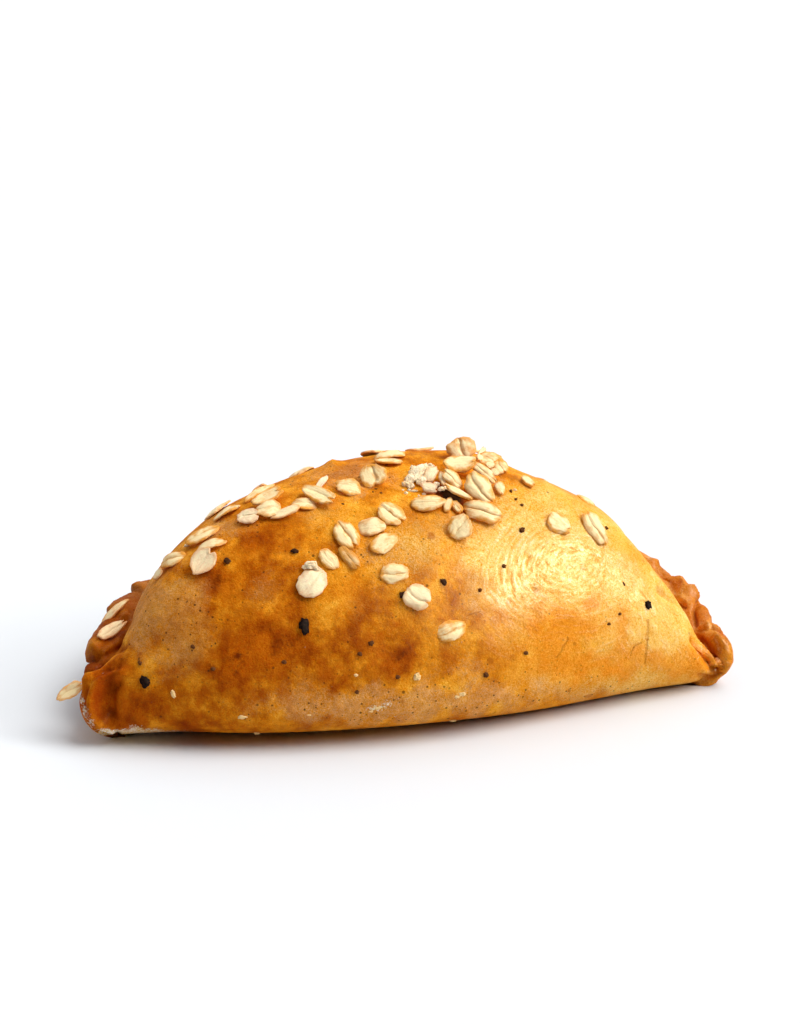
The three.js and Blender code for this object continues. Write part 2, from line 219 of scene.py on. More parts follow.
# Dry, beige blotches; the mark along the dome's top paints the sheen there.
DRYNESS_AND_SHEEN = (
    (192, 620, 22, 40, 1.5), (142, 622, 15, 40, 0.9), (228, 530, 16, 10, 0.5), (590, 690, 55, 10, 0.8),
    (185, 656, 18, 16, 1.0), (160, 600, 22, 26, 0.7), (215, 530, 40, 14, 0.5), (262, 590, 15, 18, 0.8),
    (292, 692, 16, 12, 0.6), (300, 706, 60, 14, 0.7), (370, 708, 50, 16, 1.1), (440, 703, 80, 14, 1.1),
    (470, 668, 25, 14, 0.5), (310, 672, 22, 12, 0.3), (520, 692, 55, 12, 0.5), (555, 630, 12, 12, 0.35),
    (385, 555, 34, 28, 0.6), (350, 478, 44, 14, 1.2), (356, 610, 16, 16, 0.4), (420, 570, 14, 16, 0.4),
    (300, 560, 30, 25, 0.25),
)
# Paler dough with painted highlight and painted light: most marks lie where the shine and the lamps fall on
# the right, and some along the top paint its sheen.
PALENESS_AND_HIGHLIGHT = (
    (560, 565, 70, 55, 0.9), (655, 618, 36, 34, 1.1), (600, 520, 55, 30, 0.5), (510, 578, 26, 42, 0.45),
    (520, 530, 32, 24, 0.7), (640, 585, 34, 40, 0.5), (660, 628, 24, 20, 0.4), (690, 640, 12, 24, 0.6),
    (708, 628, 9, 7, 1.0), (640, 684, 60, 14, 0.8), (690, 668, 24, 14, 0.5), (470, 545, 34, 28, 0.4),
    (600, 645, 40, 20, 0.5), (550, 675, 40, 18, 0.4), (650, 612, 10, 26, 1.0), (677, 622, 10, 24, 1.0),
    (520, 640, 24, 14, 0.4), (590, 600, 50, 24, 0.5), (636, 590, 14, 30, 0.4), (320, 515, 26, 16, 0.4),
    (415, 545, 34, 28, 0.5), (532, 495, 28, 16, 0.6), (484, 560, 24, 20, 0.5),
)
AMBER = (
    (655, 654, 42, 8, 0.7), (622, 622, 7, 30, 0.8), (690, 667, 26, 9, 0.9), (577, 624, 26, 13, 1.2),
    (600, 664, 40, 12, 0.7), (560, 645, 30, 20, 0.7), (594, 602, 12, 8, 1.6), (562, 624, 12, 14, 0.9),
    (536, 626, 8, 18, 0.9), (530, 665, 40, 24, 0.5), (580, 672, 44, 14, 0.4), (540, 610, 20, 30, 0.4),
    (700, 655, 10, 20, 0.6), (500, 620, 24, 26, 0.5), (630, 560, 10, 30, 0.4), (640, 560, 14, 24, 0.4),
    (345, 590, 20, 22, 0.6), (237, 578, 13, 22, 0.4), (450, 560, 16, 24, 0.5),
)
FLOURING = (
    (82, 700, 3, 8, 0.8), (85, 712, 4, 8, 0.9), (91, 723, 5, 7, 0.9), (104, 733, 8, 5, 1.0),
    (118, 737, 10, 4, 1.0), (112, 734, 12, 5, 1.0), (128, 733, 12, 4, 1.0), (136, 728, 8, 5, 0.8),
    (150, 731, 14, 4, 0.9), (172, 733, 16, 3, 0.8), (192, 733, 16, 3, 0.5), (377, 708, 10, 3, 1.5),
    (389, 703, 6, 3, 1.0), (396, 716, 10, 1.5, 0.6), (405, 700, 9, 4, 0.5), (461, 696, 6, 4, 0.5),
    (240, 717, 6, 3, 0.5), (104, 672, 7, 2, 0.6), (699, 652, 4, 13, 0.55), (300, 733, 30, 2, 0.4),
)
GLOSS = (
    (560, 560, 75, 50, 1.0), (650, 620, 40, 45, 0.9), (506, 582, 24, 48, 0.5), (715, 650, 18, 30, 0.6),
    (400, 600, 80, 50, 0.06), (570, 650, 90, 26, 0.15),
)
CRACKS = (  # from and to, and half the width, in pixels
    (648, 620, 647, 640, 1.1), (647, 640, 644, 663, 1.3), (640, 644, 633, 648, 0.9),
    (633, 648, 631, 656, 0.9), (568, 638, 557, 658, 1.0), (479, 718, 487, 715, 1.0),
    (487, 715, 495, 711, 0.8), (467, 617, 480, 613, 0.6),
)
# Creases pressed into the two ends of the rim, and lips raised there where the depth is less than 0: the line
# and half its width in pixels, its depth in mm, and the painted shade along it (less than 0 is painted light
# on a lip).
CREASES = (
    (((120, 666), (107, 669), (95, 677), (86, 691), (84, 706), (89, 722), (100, 731), (118, 735)),
     2.6, 0.9, 0.5),
    (((121, 674), (106, 678), (96, 687), (91, 700), (92, 713), (99, 724), (112, 729)), 4.0, -1.5, -0.1),
    (((112, 684), (108, 694), (107, 706), (110, 716)), 8.0, 3.0, 0.7),
    (((124, 646), (106, 655), (94, 662)), 3.0, 1.3, 0.8),
    (((128, 620), (112, 636), (100, 644)), 4.0, 1.0, 0.8),
    (((652, 562), (664, 563), (676, 571), (683, 584)), 3.0, -0.9, -0.2),
    (((660, 572), (669, 578), (673, 588)), 5.0, 1.6, 0.5),
    (((660, 592), (671, 599), (684, 606)), 2.6, 1.6, 0.9),
    (((680, 590), (692, 588), (700, 597)), 3.0, -0.9, -0.2),
    (((699, 602), (694, 611), (695, 624)), 2.6, 1.5, 0.8),
    (((704, 604), (709, 617), (707, 625)), 3.0, -0.7, -0.1),
    (((697, 630), (712, 627), (723, 633)), 2.2, 1.0, 0.7),
    (((697, 640), (704, 649), (710, 660), (717, 669)), 5.5, 2.4, 1.3),
    (((716, 634), (727, 646), (730, 660), (722, 671)), 4.0, -0.8, -0.2),
    (((700, 676), (712, 678), (722, 674)), 2.2, 0.9, 0.8),
)
# Lumps of the dough: middle, half width and half height in pixels, and height in mm.
LUMPS = (
    (88, 665, 9, 10, 1.7), (84, 681, 7, 7, 1.8), (90, 676, 7, 6, 1.8), (331, 461, 7, 5, 1.4),
    (682, 600, 6, 5, 0.7), (658, 576, 4, 6, 0.6), (703, 612, 5, 8, 0.5), (691, 590, 5, 4, 0.6),
)
BLOTCHES = dict(
    browning=BROWNING_AND_SHADE, dryness=DRYNESS_AND_SHEEN, paleness=PALENESS_AND_HIGHLIGHT, amber=AMBER, flouring=FLOURING, gloss=GLOSS)
WAVY_FROM = 30.0  # half the width in pixels from which a blotch's edge is fully wavy
FLOUR_WRAP = 3  # how much further round the dough's edge flour shows than the other blotches
FLANK = (596, 640)  # the pixels between which the right flank begins
RIPPLED = (572, 568)  # the pixel that the fine wrinkles on the right run round
PALER = (0.28, 0.8, 2.5)  # how much red, green and blue a paler grain adds
SEARCH = 40  # how many pixels up or down the dough is looked for
EVEN_OVER = 5  # the pixels round a spot over which its normal is made even
LEAST_SHOWN = 0.3  # the least share of a length that counts as shown
ABOVE_ALL = 200  # a height from which flakes are dropped

# The grid that the dough is made of
COLUMNS = 620  # round the outline
BACK_SHARE = 0.62  # of the columns
DOME_ROWS = 74
ROPE_ROWS = 60
FOOT_ROWS = 10
ROWS = DOME_ROWS + ROPE_ROWS + FOOT_ROWS + 2
MERGE_DISTANCE = 1e-6

# The crust's colours from golden to dark brown, and the other colours
BAKED = [
    (0.0, (0.90, 0.42, 0.042)), (0.22, (0.79, 0.29, 0.015)), (0.42, (0.57, 0.165, 0.005)),
    (0.62, (0.38, 0.076, 0.0015)), (0.82, (0.24, 0.035, 0.001)), (1.0, (0.15, 0.018, 0.0006)),
]
TONES = SimpleNamespace(
    burnt_and_shade=(0.022, 0.005, 0.001), dry_light=(0.78, 0.355, 0.10), dry_dark=(0.56, 0.225, 0.055),
    dry_brown=(0.26, 0.085, 0.008), rusty=(0.56, 0.118, 0.0018), pale=(0.96, 0.56, 0.12),
    amber=(0.88, 0.275, 0.006), left_rim=(0.23, 0.047, 0.0015), right_rim=(0.48, 0.11, 0.002),
    left_tip_shade=(0.40, 0.058, 0.001), dip_shade=(0.76, 0.28, 0.014), crest_highlight=(1.0, 0.73, 0.38),
    bran=(0.07, 0.022, 0.004), rust=(0.36, 0.06, 0.003), crack=(0.48, 0.14, 0.008),
    flour_dust=(0.86, 0.66, 0.40), oat=(1.0, 0.775, 0.42), oat_toast_and_shade=(0.82, 0.345, 0.05),
    oat_tan=(0.40, 0.17, 0.035), oat_groove_shade=(0.34, 0.12, 0.015), oat_flour=(0.98, 0.88, 0.70),
    pepper=(0.006, 0.003, 0.003), pepper_worn=(0.04, 0.014, 0.009), pepper_small=(0.17, 0.055, 0.012),
    starch=(1.0, 0.84, 0.58), starch_tan=(0.86, 0.52, 0.21), chip=(0.86, 0.55, 0.20),
    floor=(0.735, 0.757, 0.778), room=(0.97, 0.98, 1.0), sheen=(1.0, 0.84, 0.55),
)
# The crust's noise: size in mm, detail, seed and roughness
CRUST_NOISE = dict(
    broad=(16.0, 2.0, 1.0, 0.5), cloud=(6.5, 4.0, 2.0, 0.52), haze=(5.0, 5.0, 9.0, 0.6),
    mottle=(2.0, 4.0, 4.0, 0.62), grain=(0.55, 3.0, 5.0, 0.65), fine=(0.25, 1.0, 6.0, 0.5),
)
STREAK_NOISE = (4.0, 5.0, 12.0, 0.62)
STREAK_STRETCH = (1.0, 1.0, 0.45)  # streaks run down the dough

# Lamps far off: the direction of each, its strength and its spread in degrees
LAMPS = dict(
    key=((0.6, -0.28, 0.95), 2.55, 40),
    top=((0.4, 0.3, 1.0), 0.4, 34),
    fill=((0.86, -0.42, 0.5), 1.0, 18),
)


def find_socket(sockets, key):
    """A socket by its identifier, or else by its name or its place in the list."""
    if isinstance(key, str):
        for socket in sockets:
            if socket.identifier == key:
                return socket
    return sockets[key]


class Wire:
    """One socket of a node tree. Arithmetic on it adds Math or Vector Math nodes to that tree."""

    def __init__(self, tree, socket=None):
        self.tree = tree
        self.socket = socket

    def node(self, kind, settings=None, values=None, out=0):
        """Adds a node, with its settings set first and then its sockets' values or links."""
        node = self.tree.nodes.new(kind)
        for key, value in (settings or {}).items():
            if key == "stops":
                set_stops(node.color_ramp, value)
            else:
                setattr(node, key, value)
        for key, value in (values or {}).items():
            self.plug(find_socket(node.inputs, key), value)
        return Wire(self.tree, find_socket(node.outputs, out))

    def plug(self, socket, value):
        if isinstance(value, Wire):
            self.tree.links.new(value.socket, socket)
        elif socket.type == "VECTOR" and isinstance(value, (int, float)):
            socket.default_value = (value,) * 3
        elif socket.type == "RGBA" and len(value) == 3:
            socket.default_value = (*value, 1.0)
        else:
            socket.default_value = value

    def join(self, how, first, second):
        wires = [w for w in (first, second) if isinstance(w, Wire)]
        vector = any(w.socket.type == "VECTOR" for w in wires)
        kind = "ShaderNodeVectorMath" if vector else "ShaderNodeMath"
        return self.node(kind, {"operation": how}, {0: first, 1: second})

    def math(self, how, other=0.0):
        return self.node("ShaderNodeMath", {"operation": how}, {0: self, 1: other})

    def smooth(self, low, high):
        """0 below low, 1 above high, and an even rise between."""
        settings = {"interpolation_type": "SMOOTHSTEP"}
        return self.node("ShaderNodeMapRange", settings, {"Value": self, "From Min": low, "From Max": high})

    def limit(self, low=0.0, high=1.0):
        return self.node("ShaderNodeClamp", {}, {"Value": self, "Min": low, "Max": high})

    def split(self):
        return tuple(self.node("ShaderNodeSeparateXYZ", {}, {0: self}, axis) for axis in "XYZ")

    def __add__(self, other):
        return self.join("ADD", self, other)

    def __radd__(self, other):
        return self.join("ADD", other, self)

    def __sub__(self, other):
        return self.join("SUBTRACT", self, other)

    def __rsub__(self, other):
        return self.join("SUBTRACT", other, self)

    def __mul__(self, other):
        return self.join("MULTIPLY", self, other)

    def __rmul__(self, other):
        return self.join("MULTIPLY", other, self)

    def __truediv__(self, other):
        return self.join("DIVIDE", self, other)

    def __rtruediv__(self, other):
        return self.join("DIVIDE", other, self)

    def __pow__(self, other):
        return self.join("POWER", self, other)


def mix(first, second, share):
    return first + (second - first) * share


def set_stops(ramp, stops):
    """Sets a colour ramp's stops, each a place and a colour."""
    while len(ramp.elements) < len(stops):
        ramp.elements.new(1.0)
    for element, (place, colour) in zip(ramp.elements, stops):
        element.position = place
        element.color = (*colour, 1.0)


def link(piece):
    bpy.context.scene.collection.objects.link(piece)
    return piece


def grown(name, shape, sizes, material, start=None):
    """A plain mesh object that a Geometry Nodes tree makes. shape lays the tree's nodes."""
    tree = bpy.data.node_groups.new(name + "_tree", "GeometryNodeTree")
    tree.interface.new_socket("Geometry", in_out="INPUT", socket_type="NodeSocketGeometry")
    tree.interface.new_socket("Geometry", in_out="OUTPUT", socket_type="NodeSocketGeometry")
    dials = {}
    for key in sizes:
        label = key.replace("_", " ").capitalize()
        dials[key] = tree.interface.new_socket(label, in_out="INPUT", socket_type="NodeSocketFloat")
    entry = tree.nodes.new("NodeGroupInput")
    inputs = {key: Wire(tree, find_socket(entry.outputs, dial.identifier)) for key, dial in dials.items()}
    made = shape(Wire(tree, entry.outputs[0]), SimpleNamespace(**inputs))
    whole = made.node("GeometryNodeRealizeInstances", {}, {"Geometry": made})
    done = whole.node("GeometryNodeSetMaterial", {}, {"Geometry": whole, "Material": material})
    tree.links.new(done.socket, tree.nodes.new("NodeGroupOutput").inputs[0])

    piece = link(bpy.data.objects.new(name, start or bpy.data.meshes.new(name + "_start")))
    modifier = piece.modifiers.new("grow", "NODES")
    modifier.node_group = tree
    for key, dial in dials.items():
        modifier[dial.identifier] = sizes[key]
    graph = bpy.context.evaluated_depsgraph_get()
    mesh = bpy.data.meshes.new_from_object(
        piece.evaluated_get(graph), preserve_all_data_layers=True, depsgraph=graph)
    piece.modifiers.clear()
    piece.data = mesh
    mesh.name = name
    return piece


def pastry_slice(angle, s):
    """What holds all along one slice of the pastry: 0 is the right tip, a quarter turn the back."""
    across = angle.math("COSINE")
    along = angle.math("SINE")
    right = 0.5 + 0.5 * across
    bulge = mix(s.left_bulge, s.right_bulge, right.smooth(0.45, 0.9))
    depth = mix(bulge, s.back_depth, along.math("GREATER_THAN"))
    length = mix(s.left_length, s.right_length, right)
    out_x = depth * across
    out_y = length * along
    size = (out_x * out_x + out_y * out_y).math("SQRT")
    back = along.limit()
    front = (-1 * along).smooth(s.front_from, s.front_whole)
    lift = back.smooth(0.0, s.rim_rise)
    tip_height = mix(s.left_tip_height, s.right_tip_height, right)
    tip_fullness = mix(s.left_fullness, s.right_fullness, right)
    left_rim = along.smooth(s.left_rim_from, s.left_rim_whole)
    right_rim = along.smooth(s.right_rim_from, s.right_rim_whole)
    rim = mix(left_rim, right_rim, right.smooth(0.2, 0.8))
    pinch = mix(-1 * s.left_pinch, s.right_pinch, right) * 4 * back * (1 - back)
    knob = s.knob * right * (1 - back.smooth(0.0, 0.3))
    near_tip = 1 - (1 - across * across).smooth(0.0, 2 * s.flare_width)
    fold = (-1 * along).smooth(0.0, s.fold_run)
    return SimpleNamespace(
        angle=angle,
        edge_x=length * across - pinch,
        edge_y=depth * along - s.tip_forward * across.limit() ** 4,
        flare=mix(-1 * s.left_flare, s.right_flare, right) * (1 - rim) * near_tip,
        flare_height=mix(s.left_flare_height, s.right_flare_height, right),
        tuck=mix(s.tip_tuck, mix(s.left_tuck, s.right_tuck, right.smooth(0.45, 0.75)), fold),
        out_x=out_x / size,
        out_y=out_y / size,
        rim=rim,
        lift=lift,
        reach=mix(mix(s.left_reach, s.right_reach, right), s.back_reach, lift) + knob,
        lean=mix(mix(s.left_lean, s.right_lean, right), s.back_lean, lift),
        start=mix(mix(s.left_start, s.right_start, right), s.rope_start, lift),
        height=mix(mix(tip_height, s.back_height, lift), s.fold_height, fold),
        fullness=mix(mix(tip_fullness, s.back_fullness, back.smooth(0.0, 1.0)), s.front_fullness, front),
        flatness=mix(mix(s.left_flatness, s.right_flatness, right), s.front_flatness, front),
    )


def dome_place(cut, share, s):
    """The dome from the apex, at share 0, to the crease or the fold's widest line, at share 1."""
    turn = share * QUARTER_TURN
    reach = turn.math("SINE").math("MAXIMUM") ** (2 / cut.flatness)
    swell = turn.math("COSINE").math("MAXIMUM") ** (2 / cut.fullness)
    z = mix(cut.height, s.dome_height, swell)
    flare = cut.flare * (1 - (z - cut.height).smooth(0.0, cut.flare_height))
    x = mix(s.apex_x, cut.edge_x, reach) + flare
    y = mix(s.apex_y, cut.edge_y, reach)
    return x, y, z


def pleat_relief(cut, around, s):
    """How far a pleat stands up, from 0 to 1: a long rise, then a steep drop onto the next one."""
    a = s.right_length + s.rope_offset
    b = s.back_depth + s.rope_offset
    run = (a + b) / 2 * cut.angle - (a - b) / 4 * (2 * cut.angle).math("SINE")
    pitch = (a + b) / 2 * math.pi / s.pleats
    wander = s.pleat_wander * (run / s.wander_length).math("SINE")
    stretch = s.tip_stretch * ((-1 * run / s.tip_stretch_length).math("EXPONENT") - 1)
    turns = run / pitch + s.pleat_slant * around / (2 * math.pi) + wander + stretch + s.pleat_phase
    part = 1 - turns.math("FRACT")
    size = 1 - s.pleat_unevenness * (0.5 + 0.5 * (turns.math("FLOOR") * 2.4).math("SINE"))
    return size * part.smooth(0.0, s.pleat_step) * (1 - s.pleat_taper * part.smooth(s.pleat_step, 1.0))


def rope_offset(cut, relief, around, s):
    """How far out and up from the crease the crimped rope's surface lies."""

    def oval(turn):
        wide = cut.reach * turn.math("COSINE")
        thick = s.rope_thickness / 2 * turn.math("SINE")
        out = wide * cut.lean.math("COSINE") - thick * cut.lean.math("SINE")
        return out, wide * cut.lean.math("SINE") + thick * cut.lean.math("COSINE")

    fade_in = (cut.start - around).smooth(0.0, s.pleat_fade_in)
    fade_out = (around - s.rope_end).smooth(0.0, s.pleat_fade_out)
    swell = 1 + s.pleat_depth * (relief - 0.5) * fade_in * fade_out
    out, up = oval(around)
    start_out, start_up = oval(cut.start)
    return out * swell - start_out, up * swell - start_up


def edge_place(cut, share, foot, relief, around, s):
    """The half-moon's edge, from the crease or the fold's widest line round to the flat base."""
    turn = share * QUARTER_TURN
    fold_out = cut.tuck * (turn.math("COSINE") - 1)
    fold_up = -1 * cut.height * turn.math("SINE")
    rope_out, rope_up = rope_offset(cut, relief, around, s)
    tuck = mix(s.foot_tuck_front, s.foot_tuck_back, cut.lift)
    foot_turn = foot * QUARTER_TURN
    out = mix(fold_out, rope_out, cut.rim) - tuck * (1 - foot_turn.math("COSINE"))
    rise = (cut.height + mix(fold_up, rope_up, cut.rim)).math("MAXIMUM") * (1 - foot_turn.math("SINE"))
    return cut.edge_x + cut.flare + cut.out_x * out, cut.edge_y + cut.out_y * out, rise


def keep(made, name, value):
    """Keeps a value of each point as an attribute that the finishes read."""
    values = {"Geometry": made, "Name": name, "Value": value}
    return made.node("GeometryNodeStoreNamedAttribute", {"data_type": "FLOAT", "domain": "POINT"}, values)


def kept(made, name):
    return made.node("GeometryNodeInputNamedAttribute", {"data_type": "FLOAT"}, {"Name": name})


def noise(wire, place, size, detail=2.0, seed=0.0, rough=0.5):
    """Even noise about 0, between about -1 and 1, with features of the given size."""
    values = {"Vector": place, "W": seed, "Scale": 1 / size, "Detail": detail, "Roughness": rough}
    return (wire.node("ShaderNodeTexNoise", {"noise_dimensions": "4D"}, values) - 0.5) * 2


def dough_relief(made, s):
    """How far the dough stands out from its plain form: swellings, lumps, ripples and blisters."""
    place = made.node("GeometryNodeInputPosition") / MM
    x, y, _ = place.split()
    rim = kept(made, "rim")
    dome = kept(made, "dome")
    swell = 0.0
    for middle_x, middle_y, radius, height in SWELLINGS:
        far_x = x - middle_x
        far_y = y - middle_y
        swell = height * ((far_x * far_x + far_y * far_y) / (-radius * radius)).math("EXPONENT") + swell
    lumps = s.lump_height * noise(made, place, s.lump_size, 1.0, 3.0)
    ripples = s.ripple_height * noise(made, place, s.ripple_size, 2.0, 7.0)
    values = {"Vector": place, "Scale": 1 / s.blister_size, "Randomness": 1.0}
    cells = made.node("ShaderNodeTexVoronoi", {}, values)
    sparse = noise(made, place, 11.0, 1.0, 5.0).smooth(0.15, 0.5)
    blisters = s.blister_height * (1 - cells.smooth(0.0, 0.45)) * sparse
    rough = s.rim_roughness * noise(made, place, 3.2, 3.0, 11.0) * rim
    return dome * (swell + lumps + blisters) + ripples * dome + rough


def pastry_shape(made, s):
    sizes = {"Size X": 1.0, "Size Y": 1.0, "Vertices X": ROWS, "Vertices Y": COLUMNS}
    grid = made.node("GeometryNodeMeshGrid", {}, sizes, "Mesh")
    down, about, _ = made.node("GeometryNodeInputPosition").split()
    row = ((down + 0.5) * (ROWS - 1)).math("ROUND")
    about = about + 0.5
    back_part = (about / BACK_SHARE).math("MINIMUM", 1.0)
    front_part = ((about - BACK_SHARE) / (1 - BACK_SHARE)).math("MAXIMUM")
    cut = pastry_slice(math.pi * (back_part + front_part), s)

    dome_share = (row / DOME_ROWS).limit()
    rope_share = ((row - DOME_ROWS) / ROPE_ROWS).limit()
    foot_share = ((row - DOME_ROWS - ROPE_ROWS) / FOOT_ROWS).limit()
    base_share = (row - (ROWS - 2)).limit()
    around = mix(cut.start, s.rope_end, rope_share)
    relief = pleat_relief(cut, around, s)
    in_edge = row.math("GREATER_THAN", DOME_ROWS)
    over = dome_place(cut, dome_share, s)
    edge = edge_place(cut, rope_share, foot_share, relief, around, s)
    middle = (s.apex_x, s.apex_y, 0.0)
    spots = [mix(mix(a, b, in_edge), c, base_share) for a, b, c in zip(over, edge, middle)]
    place = made.node("ShaderNodeCombineXYZ", {}, dict(zip("XYZ", spots))) * MM

    shown = rope_share.smooth(0.0, 0.12) * (1 - foot_share)
    grid = keep(grid, "rim", shown * cut.rim)
    grid = keep(grid, "pleat", relief)
    grid = keep(grid, "dome", (1 - dome_share.smooth(0.9, 1.0)) * (1 - base_share))
    grid = keep(grid, "fold", (1 - cut.rim) * rope_share)
    grid = grid.node("GeometryNodeSetPosition", {}, {"Geometry": grid, "Position": place})
    grid = grid.node("GeometryNodeMergeByDistance", {}, {"Geometry": grid, "Distance": MERGE_DISTANCE})
    push = grid.node("GeometryNodeInputNormal") * (dough_relief(grid, s) * MM)
    grid = grid.node("GeometryNodeSetPosition", {}, {"Geometry": grid, "Offset": push})
    return grid.node("GeometryNodeSetShadeSmooth", {}, {"Geometry": grid})


def into_frame(piece, node):
    """Shifts a piece's mesh so that the middle of its box, and its foot, lie where the node's do."""
    low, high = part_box(node)
    corners = [Vector(corner) for corner in piece.bound_box]
    own_low = Vector(map(min, *corners))
    own_high = Vector(map(max, *corners))
    shift = (low + high - own_low - own_high) / 2
    shift.z = low.z - own_low.z
    for vertex in piece.data.vertices:
        vertex.co += shift
    piece.data.update()


def kept_vector(made, name):
    return made.node("GeometryNodeInputNamedAttribute", {"data_type": "FLOAT_VECTOR"}, {"Name": name})


def keep_vector(made, name, value):
    settings = {"data_type": "FLOAT_VECTOR", "domain": "POINT"}
    values = {"Geometry": made, "Name": name, "Value": value}
    return made.node("GeometryNodeStoreNamedAttribute", settings, values)


class Sight:
    """Looks at the finished dough through the picture's pixels."""

    def __init__(self, piece):
        self.tree = BVHTree.FromObject(piece, bpy.context.evaluated_depsgraph_get())
        self.place, self.right, self.up, self.back = view_axes()
        self.scale = LENS / SENSOR * PICTURE[1]

    def ray(self, px, py):
        aside = (px - PICTURE[0] / 2) / self.scale
        below = (py - PICTURE[1] / 2) / self.scale
        return (self.right * aside - self.up * below - self.back).normalized()

    def pixel(self, point):
        off = point - self.place
        depth = -off.dot(self.back)
        px = PICTURE[0] / 2 + self.scale * off.dot(self.right) / depth
        return px, PICTURE[1] / 2 - self.scale * off.dot(self.up) / depth

    def hit(self, px, py):
        """Where a pixel, or the nearest above or below it, lands on the dough, and the even normal there."""
        around = ((0, 0), (EVEN_OVER, 0), (-EVEN_OVER, 0), (0, EVEN_OVER), (0, -EVEN_OVER))
        for step in sorted(range(-SEARCH, SEARCH + 1), key=abs):
            found = [self.tree.ray_cast(self.place, self.ray(px + dx, py + step + dy))
                     for dx, dy in around]
            if found[0][0]:
                return found[0][0], sum((f[1] for f in found if f[0]), Vector()).normalized()
        raise ValueError("no dough near this pixel")

    def above(self, px, py, lift):
        """A spot lifted off the dough that shows at the given pixel, and the normal under it."""
        aim_x, aim_y = px, py
        for _ in range(4):
            spot, normal = self.hit(aim_x, aim_y)
            spot = spot + normal * lift
            shown_x, shown_y = self.pixel(spot)
            aim_x += 0.7 * (px - shown_x)
            aim_y += 0.7 * (py - shown_y)
        return spot, normal

    def lying(self, angle, normal):
        """The direction in the plane of the normal that shows at the given angle in the picture."""
        turn = math.radians(angle)
        wanted = self.right * math.cos(turn) - self.up * math.sin(turn)
        slope = max(self.back.dot(normal), LEAST_SHOWN)
        along = wanted - self.back * (wanted.dot(normal) / slope)
        return (along - normal * along.dot(normal)).normalized()

    def shown(self, direction):
        """The share of a direction's length that the picture shows."""
        return (direction - self.back * direction.dot(self.back)).length

    def mm_per_pixel(self, point):
        return -(point - self.place).dot(self.back) / self.scale / MM


def between(value, low, high):
    return max(low, min(high, value))


def seen_points(sight, piece):
    """Each point's pixel in the picture, how far it faces the viewer, and its normal."""
    mesh = piece.data
    count = len(mesh.vertices)
    spots, normals = np.empty(count * 3), np.empty(count * 3)
    mesh.vertices.foreach_get("co", spots)
    mesh.vertex_normals.foreach_get("vector", normals)
    normals = normals.reshape(-1, 3)
    off = spots.reshape(-1, 3) - np.array(sight.place)
    depth = -off @ np.array(sight.back)
    px = PICTURE[0] / 2 + sight.scale * (off @ np.array(sight.right)) / depth
    py = PICTURE[1] / 2 - sight.scale * (off @ np.array(sight.up)) / depth
    shows = np.clip((normals @ np.array(sight.back) + 0.15) / 0.3, 0.0, 1.0)
    return px, py, shows, normals


def far_from(line, px, py):
    """Each point's distance in pixels from a line of joined stretches."""
    nearest = np.full(len(px), 1e3)
    for (from_x, from_y), (to_x, to_y) in zip(line, line[1:]):
        run_x, run_y = to_x - from_x, to_y - from_y
        share = ((px - from_x) * run_x + (py - from_y) * run_y) / (run_x ** 2 + run_y ** 2)
        share = np.clip(share, 0.0, 1.0)
        nearest = np.minimum(nearest, np.hypot(px - from_x - share * run_x, py - from_y - share * run_y))
    return nearest


def press_creases(sight, piece):
    """Presses the creases into the dough and raises the lumps. Gives the painted shade that the creases lay
    on each point.
    """
    px, py, shows, normals = seen_points(sight, piece)
    push = np.zeros(len(px))
    brown = np.zeros(len(px))
    for line, half, depth, shade_strength in CREASES:
        share = np.exp(-(far_from(line, px, py) / half) ** 2)
        push -= depth * share
        # Painted shade in the creases, and painted light on the lips.
        brown += shade_strength * share
    for mark_x, mark_y, wide, high, height in LUMPS:
        push += height * np.exp(-((px - mark_x) / wide) ** 2 - ((py - mark_y) / high) ** 2)
    spots = np.empty(len(px) * 3)
    piece.data.vertices.foreach_get("co", spots)
    spots += (normals * (push * shows * MM)[:, None]).ravel()
    spots[2::3] = np.maximum(spots[2::3], 0.0)
    piece.data.vertices.foreach_set("co", spots)
    piece.data.update()
    return brown * shows


def paint_blotches(sight, piece, crease_shade):
    """Keeps where each point of the crust shows in the picture, and how the blotches there look."""
    mesh = piece.data
    px, py, shows, _ = seen_points(sight, piece)
    layer = mesh.attributes.new("seen", "FLOAT_VECTOR", "POINT")
    layer.data.foreach_set("vector", np.stack([px, py, shows], 1).ravel())
    wave_x = 5 * np.sin(0.13 * py + 0.05 * px) + 3 * np.sin(0.31 * py - 0.21 * px + 1.0)
    wave_y = 5 * np.sin(0.11 * px - 0.06 * py + 2.0) + 3 * np.sin(0.27 * px + 0.23 * py + 0.5)
    for name, marks in BLOTCHES.items():
        floury = name == "flouring"
        total = crease_shade if name == "browning" else np.zeros(len(px))
        for mark_x, mark_y, wide, high, strength in marks:
            wavy = 0.0 if floury else min(1.0, wide / WAVY_FROM)
            far_x = px + wavy * wave_x - mark_x
            far_y = py + wavy * wave_y - mark_y
            total = total + strength * np.exp(-(far_x / wide) ** 2 - (far_y / high) ** 2)
        seen = np.minimum(FLOUR_WRAP * shows, 1.0) if floury else shows
        layer = mesh.attributes.new(name, "FLOAT", "POINT")
        layer.data.foreach_set("value", total * seen)


def wobbled(facing, chance):
    return (facing + FLAKE_WOBBLE * Vector([chance.uniform(-1, 1) for _ in range(3)])).normalized()


